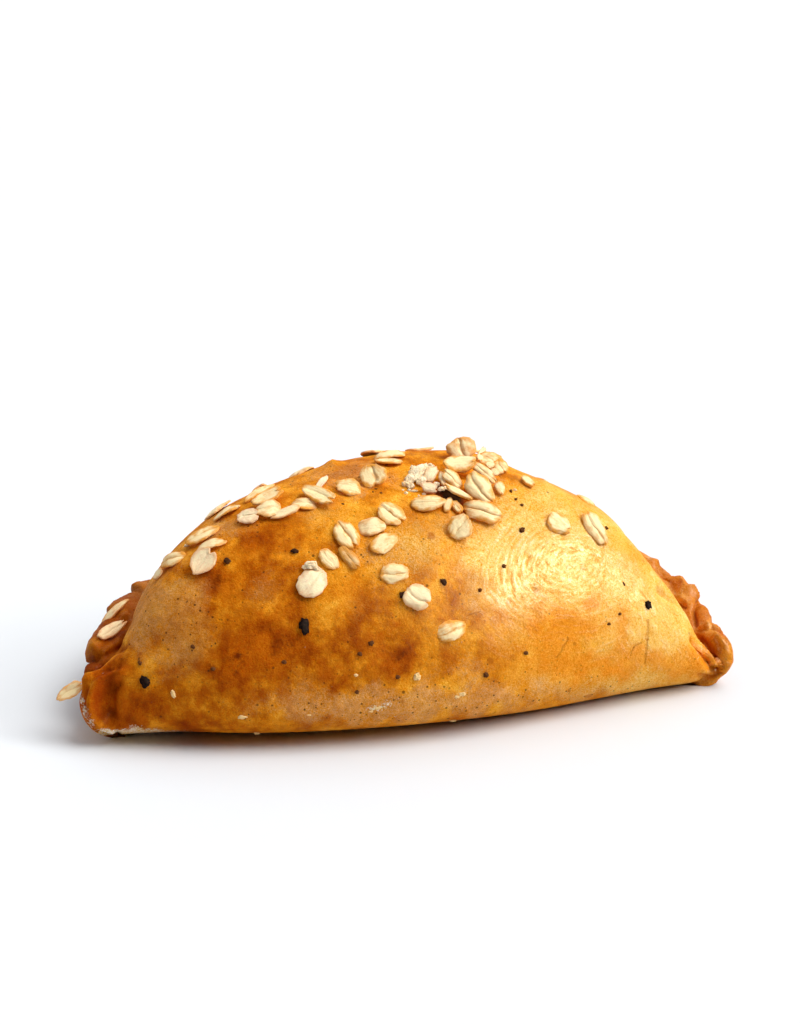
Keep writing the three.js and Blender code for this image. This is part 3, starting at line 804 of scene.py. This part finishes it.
def seen_flake(sight, flake, chance):
    """Where one flake of the picture lies, and its true sizes."""
    _, under = sight.hit(flake.px, flake.py)
    facing = wobbled((under * (1 - flake.face) + sight.back * flake.face).normalized(), chance)
    along = sight.lying(flake.angle, facing)
    across = facing.cross(along)
    tilt = math.sqrt(max(0.0, 1 - facing.dot(under) ** 2))
    lift = flake.lift + FLAKE_LIFT
    spot, _ = sight.above(flake.px, flake.py, lift * MM)
    pixel = sight.mm_per_pixel(spot)
    length = between(flake.length * pixel / max(sight.shown(along), LEAST_SHOWN), *FLAKE_LENGTHS)
    width = between(flake.width * pixel / max(sight.shown(across), LEAST_SHOWN), *FLAKE_WIDTHS)
    rise = 0.25 * tilt * min(length, width)
    spot, _ = sight.above(flake.px, flake.py, (lift + rise) * MM)
    return dict(middle=spot, along=along, across=across, facing=facing, length=length, width=width,
                crease=flake.crease, tan=flake.tan, flour=flake.flour)


def tip_flake(sight, flake):
    """The flake beside the left tip, placed from the dough next to it."""
    spot, under = sight.hit(*flake.beside)
    shown_x, shown_y = sight.pixel(spot)
    pixel = sight.mm_per_pixel(spot) * MM
    middle = spot + sight.right * ((flake.px - shown_x) * pixel) - sight.up * ((flake.py - shown_y) * pixel)
    facing = (0.5 * under + sight.back + 0.3 * sight.up).normalized()
    along = sight.lying(flake.angle, facing)
    return dict(middle=middle - sight.back * (flake.behind * MM), along=along, across=facing.cross(along),
                facing=facing, length=flake.length, width=flake.width, crease=0.25, tan=0.45, flour=0.1)


def far_flake(sight, x, y, angle, chance):
    spot, _, _, _ = sight.tree.ray_cast(Vector((x, y, ABOVE_ALL)) * MM, Vector((0, 0, -1)))
    near, facing, _, _ = sight.tree.find_nearest(spot)
    facing = wobbled(facing, chance)
    turn = math.radians(angle)
    along = Vector((math.cos(turn), math.sin(turn), 0))
    along = (along - facing * along.dot(facing)).normalized()
    length, width = (size * chance.uniform(0.85, 1.12) for size in FAR_FLAKE_SIZE)
    return dict(middle=near + facing * FAR_FLAKE_LIFT * MM, along=along, across=facing.cross(along),
                facing=facing, length=length, width=width, crease=chance.uniform(0.0, 0.5),
                tan=chance.uniform(0.05, 0.5), flour=chance.uniform(0.0, 0.3))


def seen_bit(sight, bit, depth, white):
    spot, facing = sight.above(bit.px, bit.py, bit.lift * MM)
    facing = (facing + 0.5 * sight.back).normalized()
    along = sight.lying(bit.angle, facing)
    pixel = sight.mm_per_pixel(spot)
    return dict(middle=spot, along=along, across=facing.cross(along), facing=facing, white=white,
                length=bit.length * pixel, width=bit.width * pixel, depth=bit.width * pixel * depth)


def points_mesh(name, rows):
    """A mesh of bare points that carry the rows' values as attributes, and a seed for each row."""
    mesh = bpy.data.meshes.new(name)
    mesh.from_pydata([row["middle"] for row in rows], [], [])
    for key, first in rows[0].items():
        vector = isinstance(first, Vector)
        layer = mesh.attributes.new(key, "FLOAT_VECTOR" if vector else "FLOAT", "POINT")
        flat = [part for row in rows for part in (row[key] if vector else (row[key],))]
        layer.data.foreach_set("vector" if vector else "value", flat)
    layer = mesh.attributes.new("seed", "FLOAT", "POINT")
    layer.data.foreach_set("value", [7.3 * number for number in range(len(rows))])
    return mesh


def copies(points, form):
    """One copy of a form for each point, with the form's own coordinates kept as spot."""
    form = keep_vector(form, "spot", form.node("GeometryNodeInputPosition"))
    many = points.node("GeometryNodeInstanceOnPoints", {}, {"Points": points, "Instance": form})
    return many.node("GeometryNodeRealizeInstances", {}, {"Geometry": many})


def put(whole, x, y, z):
    """Sets each copy's points from its own coordinates in mm."""
    place = kept_vector(whole, "middle") + kept_vector(whole, "along") * (x * MM)
    place = place + kept_vector(whole, "across") * (y * MM) + kept_vector(whole, "facing") * (z * MM)
    whole = whole.node("GeometryNodeSetPosition", {}, {"Geometry": whole, "Position": place})
    return whole.node("GeometryNodeSetShadeSmooth", {}, {"Geometry": whole})


def flake_shape(points, s):
    """Rolled oats: thin ovals with a crease, two rounded halves, uneven edges and some with a split end."""
    size = {"Size": (2, 2, 1), "Vertices X": 26, "Vertices Y": 21, "Vertices Z": 2}
    whole = copies(points, points.node("GeometryNodeMeshCube", {}, size, "Mesh"))
    u, v, w = kept_vector(whole, "spot").split()
    seed = kept(whole, "seed")
    length, width, crease = (kept(whole, key) for key in ("length", "width", "crease"))
    v = v * v.math("ABSOLUTE") ** 0.4
    x = u * (1 - v * v / 2).math("SQRT")
    y = v * (1 - u * u / 2).math("SQRT")
    flat = whole.node("ShaderNodeCombineXYZ", {}, {"X": x, "Y": y, "Z": 0.0})
    chance_a = (seed * 1.7).math("SINE")
    chance_b = (seed * 2.9).math("SINE")
    wide = (1 + 0.16 * chance_a * x) * (1 - s.point * x * x * x * x)
    ragged_x = s.ragged * noise(whole, flat, 0.75, 3.0, seed, 0.6)
    ragged_y = s.ragged * noise(whole, flat, 0.75, 3.0, seed + 31, 0.6)
    split = chance_b.smooth(0.2, 0.6) * s.split * x.smooth(0.45, 1.0) * (y * y / -0.03).math("EXPONENT")
    out_x = length / 2 * (x + ragged_x - split)
    bend = s.bend * chance_a * (1 - x * x) * (1 - y * y)
    out_y = width / 2 * (y * wide + ragged_y + bend)

    from_middle = x * x + y * y
    half = s.thickness / 2 * (0.65 + 0.35 * (1 - from_middle ** 3).math("MAXIMUM").math("SQRT"))
    half = half * (1 + 0.25 * chance_b)
    side = w * 2
    lobe = 2 * y.math("ABSOLUTE") - 1
    upper = side * 0.5 + 0.5
    puff = s.puff * (0.12 + crease) * (1 - lobe * lobe) * (1 - x * x) * upper
    groove = 0.6 * crease * (y * y / -0.012).math("EXPONENT") * (1 - x ** 6) * (0.3 + 0.7 * upper)
    curl = s.curl * width * (chance_a - 0.4) * y * y + s.curl * length * (chance_b - 0.4) * x * x
    waves = s.wave * noise(whole, flat, 0.6, 3.0, seed + 57, 0.6)
    whole = keep(whole, "groove", groove)
    return put(whole, out_x, out_y, side * half + puff - groove + curl + waves)


def bit_shape(points, s):
    """Small hard lumps with broken faces."""
    ball = points.node("GeometryNodeMeshIcoSphere", {}, {"Radius": 1.0, "Subdivisions": s.fineness}, "Mesh")
    whole = copies(points, ball)
    spot = kept_vector(whole, "spot")
    seed = kept(whole, "seed")
    cells = {"Vector": spot, "W": seed, "Scale": s.facets}
    near = whole.node("ShaderNodeTexVoronoi", {"voronoi_dimensions": "4D"}, cells)
    rough = s.crumble * noise(whole, spot, 0.35, 3.0, seed + 13, 0.6)
    swell = 1 + s.lumps * noise(whole, spot, 1.1, 2.0, seed) + s.chips * (0.5 - near) + rough
    x, y, z = (spot * swell).split()
    length, width, depth = (kept(whole, key) / 2 for key in ("length", "width", "depth"))
    return put(whole, x * length, y * width, z * depth)


def new_material(name):
    material = bpy.data.materials.new(name)
    material.use_nodes = True
    material.node_tree.nodes.clear()
    return material


def finish_material(material, surface, roughness=0.5, **constants):
    """Ends a material in one Principled shader. surface holds its links, constants its own sockets."""
    tree = material.node_tree
    shader = tree.nodes.new("ShaderNodeBsdfPrincipled")
    shader.inputs["Roughness"].default_value = roughness
    desk = Wire(tree)
    for key, value in constants.items():
        desk.plug(shader.inputs[key.replace("_", " ").title().replace("Ior", "IOR")], value)
    for key, value in surface.items():
        desk.plug(shader.inputs[key], value)
    end = tree.nodes.new("ShaderNodeOutputMaterial")
    tree.links.new(shader.outputs[0], end.inputs["Surface"])
    return material


def tint(first, second, share):
    """A colour between two colours."""
    wire = next(w for w in (share, first, second) if isinstance(w, Wire))
    values = {"Factor_Float": share, "A_Color": first, "B_Color": second}
    return wire.node("ShaderNodeMix", {"data_type": "RGBA"}, values, "Result_Color")


def shade(colour, share):
    """A colour made paler, or darker and redder where the share is less than 0."""
    parts = {axis: (1 + change * share).limit(0.1, 3.5) for axis, change in zip("XYZ", PALER)}
    factors = share.node("ShaderNodeCombineXYZ", {}, parts)
    return share.node("ShaderNodeVectorMath", {"operation": "MULTIPLY"}, {0: colour, 1: factors})


def attribute(desk, name, out="Fac"):
    return desk.node("ShaderNodeAttribute", {"attribute_name": name}, {}, out)


def object_place(desk):
    return desk.node("ShaderNodeTexCoord", {}, {}, "Object") / MM


def bump(height, strength):
    """A normal from a height in mm."""
    values = {"Height": height, "Distance": MM, "Strength": strength}
    return height.node("ShaderNodeBump", {}, values, "Normal")


def crack_lines(px, py):
    """1 along the fine cracks of the crust, else 0."""
    lines = 0.0
    for from_x, from_y, to_x, to_y, half in CRACKS:
        run_x, run_y = to_x - from_x, to_y - from_y
        share = ((px - from_x) * run_x + (py - from_y) * run_y) / (run_x ** 2 + run_y ** 2)
        share = share.limit()
        off_x = px - from_x - share * run_x
        off_y = py - from_y - share * run_y
        far = (off_x * off_x + off_y * off_y).math("SQRT")
        lines = (1 - far.smooth(half * 0.4, half * 1.8)) + lines
    return lines


def spots_of(desk, place, apart, share, low, high):
    """Round specks about so far apart, in a share of the places: 1 on a speck, else 0."""
    cells = {"Vector": place, "Scale": 1 / apart, "Randomness": 1.0}
    near = desk.node("ShaderNodeTexVoronoi", {}, cells, "Distance")
    colour = desk.node("ShaderNodeTexVoronoi", {}, cells, "Color")
    which = desk.node("ShaderNodeSeparateColor", {}, {0: colour}, 0)
    size = desk.node("ShaderNodeSeparateColor", {}, {0: colour}, 1)
    reach = mix(low, high, size)
    return (1 - (near / reach).smooth(0.5, 1.0)) * which.math("LESS_THAN", share)


def crust_fields(desk):
    """What the crust's looks are worked out from: the attributes that its points keep, and noise."""
    place = object_place(desk)
    px, py, shows = attribute(desk, "seen", "Vector").split()
    fields = {name: attribute(desk, name) for name in ("rim", "pleat", "fold", *BLOTCHES)}
    fields.update({name: noise(desk, place, *look) for name, look in CRUST_NOISE.items()})
    streak = noise(desk, place * STREAK_STRETCH, *STREAK_NOISE)
    glossy = fields["gloss"].limit() * shows
    flank = px.smooth(*FLANK)
    return SimpleNamespace(
        place=place, px=px, py=py, shows=shows, flank=flank, streak=streak, glossy=glossy, **fields)


def baked_colour(desk, c):
    """The crust from golden to nearly black, with painted shade on the fold's underside and under the heap of
    flakes, and a share that is 0 where it is dark brown.
    """
    brown = 0.27 + 0.27 * c.browning * (1 + 0.8 * c.cloud) + 0.2 * c.broad * (1.2 - 0.8 * c.shows)
    brown = brown + 0.66 * c.cloud + 0.3 * c.mottle + 0.28 * c.grain
    # Painted shade: the rim is browner on the left, away from the lamps, than on the right flank.
    brown = brown + c.rim * (0.36 - 0.16 * c.pleat) * (1 - 0.25 * c.flank)
    # Darker where the fold turns under: a browner baked bottom, and painted shade where it faces the floor.
    brown = brown + 1.2 * c.fold.smooth(0.7, 0.9) * (1 - c.flouring.limit())
    colour = desk.node("ShaderNodeValToRGB", {"stops": BAKED}, {"Fac": brown}, "Color")
    # Near black where the brown runs highest: mostly painted shadow under the heap of flakes and painted
    # shade on the fold's underside.
    colour = tint(colour, TONES.burnt_and_shade, brown.smooth(1.15, 1.5))
    return colour, 1 - brown.smooth(0.75, 1.1)


def dry_share(c, plain):
    # This share also carries the painted sheen along the dome's top.
    dry = (c.dryness + 0.7 * c.haze + 0.3 * c.mottle + 0.45 * c.grain - 0.14).smooth(0.0, 0.8)
    return dry * plain * (1 - 0.8 * (0.75 * c.browning).limit())


def with_blotches(colour, c, plain, dry):
    """Lays the dry, rusty, pale and amber blotches over the baked colour, with painted sheen and painted
    highlight among the dry and pale ones, then the rim and the left tip, darker on the left as painted shade.
    """
    beige = tint(TONES.dry_light, TONES.dry_dark, (0.6 * c.mottle + 0.5 * c.grain).smooth(-0.25, 0.3))
    beige = tint(beige, TONES.dry_brown, (c.browning * 0.6).limit(0.0, 0.7))
    colour = tint(colour, beige, dry * 0.8)
    rusty = (1.2 * c.streak + 0.5 * c.mottle + 0.25 * c.browning - 0.1).smooth(0.0, 0.6)
    rusty = rusty * (1 - 0.6 * c.dryness.limit())
    colour = tint(colour, TONES.rusty, rusty * plain * 0.72)
    # Paleness partly of the dough, partly painted highlight and painted light on the right and along the top.
    pale = (c.paleness - 0.55 * c.browning) * (0.85 + 0.9 * c.cloud + c.mottle)
    colour = tint(colour, TONES.pale, pale.limit() * 0.85)
    amber = c.amber * (0.9 + 1.2 * c.mottle + 0.8 * c.cloud)
    colour = tint(colour, TONES.amber, amber.limit() * 0.8)
    # Painted shade: the rim's colour runs from dark on the left, away from the lamps, to lighter on the
    # right.
    rim = tint(TONES.left_rim, TONES.right_rim, c.flank)
    colour = tint(colour, rim, c.rim * (0.7 - 0.3 * c.pleat))
    # Painted shade on the left tip's lobe.
    left_tip_shade = (1 - c.px.smooth(112, 138)) * c.py.smooth(655, 675) * c.shows
    return tint(colour, TONES.left_tip_shade, left_tip_shade * (0.5 + 0.8 * c.mottle + 0.6 * c.cloud).limit() * 0.75)


def wrinkle_noise(desk, seed, **parts):
    return noise(desk, desk.node("ShaderNodeCombineXYZ", {}, parts), 1.0, 3.0, seed, 0.55)


def wrinkles(desk, c):
    """Fine wrinkles in the shine, about 0: uneven rings round one spot, and strokes on the right flank."""
    away_x = c.px - RIPPLED[0] + 14 * c.broad
    away_y = 1.25 * (c.py - RIPPLED[1]) + 8 * c.cloud
    away = (away_x * away_x + away_y * away_y + 40.0).math("SQRT")
    outward = away / 3.8 + 0.7 * c.mottle + 0.4 * c.haze
    rings = wrinkle_noise(desk, 8.0, X=outward, Y=away_x / away * 3.0, Z=away_y / away * 3.0)
    across = (0.86 * c.px - 0.51 * c.py) / 4.0 + 2.6 * c.cloud + 0.9 * c.mottle
    strokes = wrinkle_noise(desk, 15.0, X=across, Y=(0.51 * c.px + 0.86 * c.py) / 17.0)
    return mix(rings * away.smooth(-12, 30), strokes, c.flank)


def with_marks(desk, colour, c):
    """Adds bran, rust spots, cracks and flour. Gives the colour, and where bran, cracks and flour are."""
    bran = spots_of(desk, c.place, 1.3, 0.65, 0.11, 0.28)
    bran = bran * (0.2 + 0.8 * (c.haze + c.dryness).smooth(-0.1, 0.6))
    bran = (bran + spots_of(desk, c.place, 3.6, 0.25, 0.06, 0.14) * 0.75) * (1 - 0.85 * c.gloss.limit())
    colour = tint(colour, TONES.bran, bran.limit(0.0, 0.85))
    rust = spots_of(desk, c.place + 3.0, 5.2, 0.35, 0.08, 0.3) * (0.6 + c.cloud)
    colour = tint(colour, TONES.rust, rust.limit() * 0.7)
    cracks = crack_lines(c.px + 4 * c.mottle, c.py + 4 * c.cloud) * c.shows
    colour = tint(colour, TONES.crack, (cracks * 0.45).limit())
    dusty = (c.flouring * 0.95 - 0.5 + 1.1 * c.grain + 0.4 * c.mottle).smooth(0.0, 0.5)
    return tint(colour, TONES.flour_dust, dusty * 0.85), bran, cracks, dusty


def crust_material():
    """Baked dough with an egg wash, which shines on the right and on the rim."""
    material = new_material("crust")
    desk = Wire(material.node_tree)
    c = crust_fields(desk)
    colour, plain = baked_colour(desk, c)
    dry = dry_share(c, plain)
    colour = with_blotches(colour, c, plain, dry)
    wrinkle = wrinkles(desk, c)
    # Painted highlight on the crests of the shine's wrinkles, and painted shade in their dips.
    colour = tint(colour, TONES.dip_shade, (0 - wrinkle).smooth(0.0, 0.4) * c.glossy * 0.8)
    colour = tint(colour, TONES.crest_highlight, wrinkle.smooth(0.0, 0.4) * c.glossy * 0.36)
    colour, bran, cracks, dusty = with_marks(desk, colour, c)
    speckle = (c.grain + 0.9 * c.fine) * (1 - 0.55 * c.glossy) + 0.35 * c.haze
    colour = shade(colour, speckle + 0.35 * c.streak * (1 - 0.7 * c.glossy))

    height = c.grain * 0.1 + c.mottle * 0.24 + wrinkle * c.glossy * (0.2 - 0.08 * c.flank)
    height = height - cracks * 0.1 + dusty * 0.12 - bran * 0.05
    glint = (0.9 - 0.35 * c.flank) * wrinkle * c.glossy + 0.6 * c.grain + 0.3 * c.mottle
    coat = (0.04 + 0.9 * c.gloss + 0.28 * c.rim).limit() * (0.12 + 0.88 * glint.smooth(-0.25, 0.55))
    coat = coat * (1 - dusty) * (1 - 0.8 * dry)
    shine = (0.1 + 0.9 * c.gloss + 0.25 * c.rim).limit() * (1 - dusty) * (1 - 0.7 * dry)
    surface = {"Base Color": colour, "Normal": bump(height, 1.0), "Coat Weight": coat,
               "Roughness": 0.78 - 0.4 * shine}
    return finish_material(material, surface, specular_ior_level=0.03, specular_tint=(1.0, 0.75, 0.15),
                           coat_roughness=0.28, coat_ior=1.5)


def oat_material():
    """Dry oat: pale straw with toasted edges, a darker crease and some flour; the darker edges and crease are
    partly painted shade.
    """
    material = new_material("oats")
    desk = Wire(material.node_tree)
    x, y, _ = attribute(desk, "spot", "Vector").split()
    seed, tan, flour, crease, groove = (
        attribute(desk, key) for key in ("seed", "tan", "flour", "crease", "groove"))
    place = object_place(desk)
    lengthwise = desk.node("ShaderNodeCombineXYZ", {}, {"X": x * 1.2, "Y": y * 7, "Z": 0.0})
    grain = noise(desk, lengthwise, 1.0, 3.0, seed)
    patch = noise(desk, place, 1.8, 3.0, 3.0)
    dust = noise(desk, place, 0.35, 3.0, 9.0)
    # Darker towards the edges and along the crease: partly toasting, partly painted shade.
    edge = (x * x + y * y - x * x * y * y).smooth(0.4, 1.0)
    seam_shade = (y * y / -0.09).math("EXPONENT") * crease.smooth(0.05, 0.4)
    toast_and_shade = 0.75 * tan + 0.9 * edge + 0.4 * seam_shade + 0.9 * grain + 1.5 * patch - 0.22
    colour = tint(TONES.oat, TONES.oat_toast_and_shade, toast_and_shade.limit())
    colour = tint(colour, TONES.oat_tan, ((tan - 0.85) * 4).limit() * 0.6)
    # Painted shade in the crease's groove.
    colour = tint(colour, TONES.oat_groove_shade, groove.smooth(0.1, 0.4) * 0.6)
    white = flour * (0.75 + 0.6 * patch + 0.4 * dust) + dust.smooth(0.2, 0.6) * 0.12
    colour = tint(colour, TONES.oat_flour, white.limit(0.0, 0.95))
    surface = {"Base Color": colour, "Normal": bump(grain * 0.08 + dust * 0.06, 0.7)}
    return finish_material(material, surface, roughness=0.55, specular_ior_level=0.08)


def pepper_material():
    """Near black, and browner on the smallest specks."""
    material = new_material("pepper")
    desk = Wire(material.node_tree)
    patch = noise(desk, object_place(desk), 0.5, 3.0, 1.0)
    colour = tint(TONES.pepper, TONES.pepper_worn, patch.smooth(-0.3, 0.7))
    small = 1 - attribute(desk, "length").smooth(1.0, 2.2)
    colour = tint(colour, TONES.pepper_small, small * 0.8)
    surface = {"Base Color": colour, "Normal": bump(patch * 0.1, 0.7)}
    return finish_material(material, surface, roughness=0.7, specular_ior_level=0.04)


def flour_material():
    """Off-white starch with tan patches, and plain tan on the chips."""
    material = new_material("flour")
    desk = Wire(material.node_tree)
    place = object_place(desk)
    patch = noise(desk, place, 1.3, 3.0, 2.0)
    dust = noise(desk, place, 0.3, 2.0, 6.0)
    colour = tint(TONES.starch, TONES.starch_tan, (patch * 0.9 + dust * 0.6).smooth(-0.25, 0.6))
    colour = tint(TONES.chip, colour, attribute(desk, "white"))
    surface = {"Base Color": colour, "Normal": bump(dust * 0.15, 0.9)}
    return finish_material(material, surface, roughness=0.8, specular_ior_level=0.1)


def floor_material():
    material = new_material("floor")
    return finish_material(material, {}, roughness=0.8, specular_ior_level=0.0, base_color=TONES.floor)


def add_floor():
    size = 12.0
    corners = [(-size, -size, 0), (size, -size, 0), (size, size, 0), (-size, size, 0)]
    mesh = bpy.data.meshes.new("floor")
    mesh.from_pydata(corners, [], [(0, 1, 2, 3)])
    mesh.materials.append(floor_material())
    floor = link(bpy.data.objects.new("floor", mesh))


def view_axes():
    """The camera's place in metres, and its right, up and back directions."""
    azimuth, elevation = VIEW_AZIMUTH, VIEW_ELEVATION
    back = Vector((math.sin(azimuth) * math.cos(elevation),
                   -math.cos(azimuth) * math.cos(elevation),
                   math.sin(elevation)))
    right = Vector((math.cos(azimuth), math.sin(azimuth), 0.0))
    up = back.cross(right)
    return (VIEW_TARGET + back * VIEW_DISTANCE) * MM, right, up, back


def add_camera():
    place, right, up, back = view_axes()
    camera = bpy.data.cameras.new("camera")
    camera.lens = LENS
    camera.sensor_fit = "VERTICAL"
    camera.sensor_height = SENSOR
    camera.clip_start = 0.01
    holder = link(bpy.data.objects.new("camera", camera))
    turn = Matrix((right, up, back)).transposed().to_4x4()
    holder.matrix_world = Matrix.Translation(place) @ turn
    bpy.context.scene.camera = holder


def add_light():
    """A room that is bright behind and above, three soft lamps, and a panel that only the shine mirrors."""
    scene = bpy.context.scene
    scene.view_settings.view_transform = "Standard"
    world = bpy.data.worlds.new("studio")
    scene.world = world
    world.use_nodes = True
    background = world.node_tree.nodes["Background"]
    desk = Wire(world.node_tree)
    _, y, z = desk.node("ShaderNodeTexCoord", {}, {}, "Generated").split()
    desk.plug(background.inputs["Color"], TONES.room)
    desk.plug(background.inputs["Strength"], 0.01 + 0.72 * (0.8 * y + 0.8 * z).smooth(-0.1, 0.9))

    for name, (toward, strength, spread) in LAMPS.items():
        lamp = bpy.data.lights.new(name, "SUN")
        lamp.energy = strength
        lamp.angle = math.radians(spread)
        holder = link(bpy.data.objects.new(name, lamp))
        holder.rotation_euler = Vector(toward).to_track_quat("Z", "Y").to_euler()

    sheen = bpy.data.lights.new("sheen", "AREA")
    sheen.shape = "RECTANGLE"
    sheen.size = 1.3
    sheen.size_y = 1.1
    sheen.energy = 150
    sheen.color = TONES.sheen
    toward = Vector((0.54, -0.72, 0.42)).normalized()
    holder = link(bpy.data.objects.new("sheen", sheen))
    holder.location = toward * 1.5 + Vector((0.03, 0, 0.03))
    holder.rotation_euler = toward.to_track_quat("Z", "Y").to_euler()
    holder.visible_diffuse = False


add_camera()
add_floor()
add_light()
pastry = grown("crust", pastry_shape, PASTRY, crust_material())
into_frame(pastry, "pastry")
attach(pastry, "root")
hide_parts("pastry")

chance = random.Random(5)
sight = Sight(pastry)
paint_blotches(sight, pastry, press_creases(sight, pastry))
sight = Sight(pastry)
rows = [seen_flake(sight, flake, chance) for flake in FLAKES]
rows += [far_flake(sight, *spot, chance) for spot in FAR_FLAKES]
rows.append(tip_flake(sight, TIP_FLAKE))
flakes = grown("oat_flakes", flake_shape, FLAKE_SIZES, oat_material(), points_mesh("flake_points", rows))
rows = [seen_bit(sight, bit, depth=0.7, white=0.0) for bit in SPECKS]
specks = grown("pepper_specks", bit_shape, SPECK_SIZES, pepper_material(), points_mesh("speck_points", rows))
rows = [seen_bit(sight, bit, depth=0.8, white=1.0) for bit in CRUMBS]
rows += [seen_bit(sight, bit, depth=0.6, white=0.2) for bit in CHIPS]
crumbs = grown("flour_crumbs", bit_shape, CRUMB_SIZES, flour_material(), points_mesh("crumb_points", rows))
for piece, slot in ((flakes, "oats"), (specks, "pepper"), (crumbs, "flour")):
    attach(piece, "root")
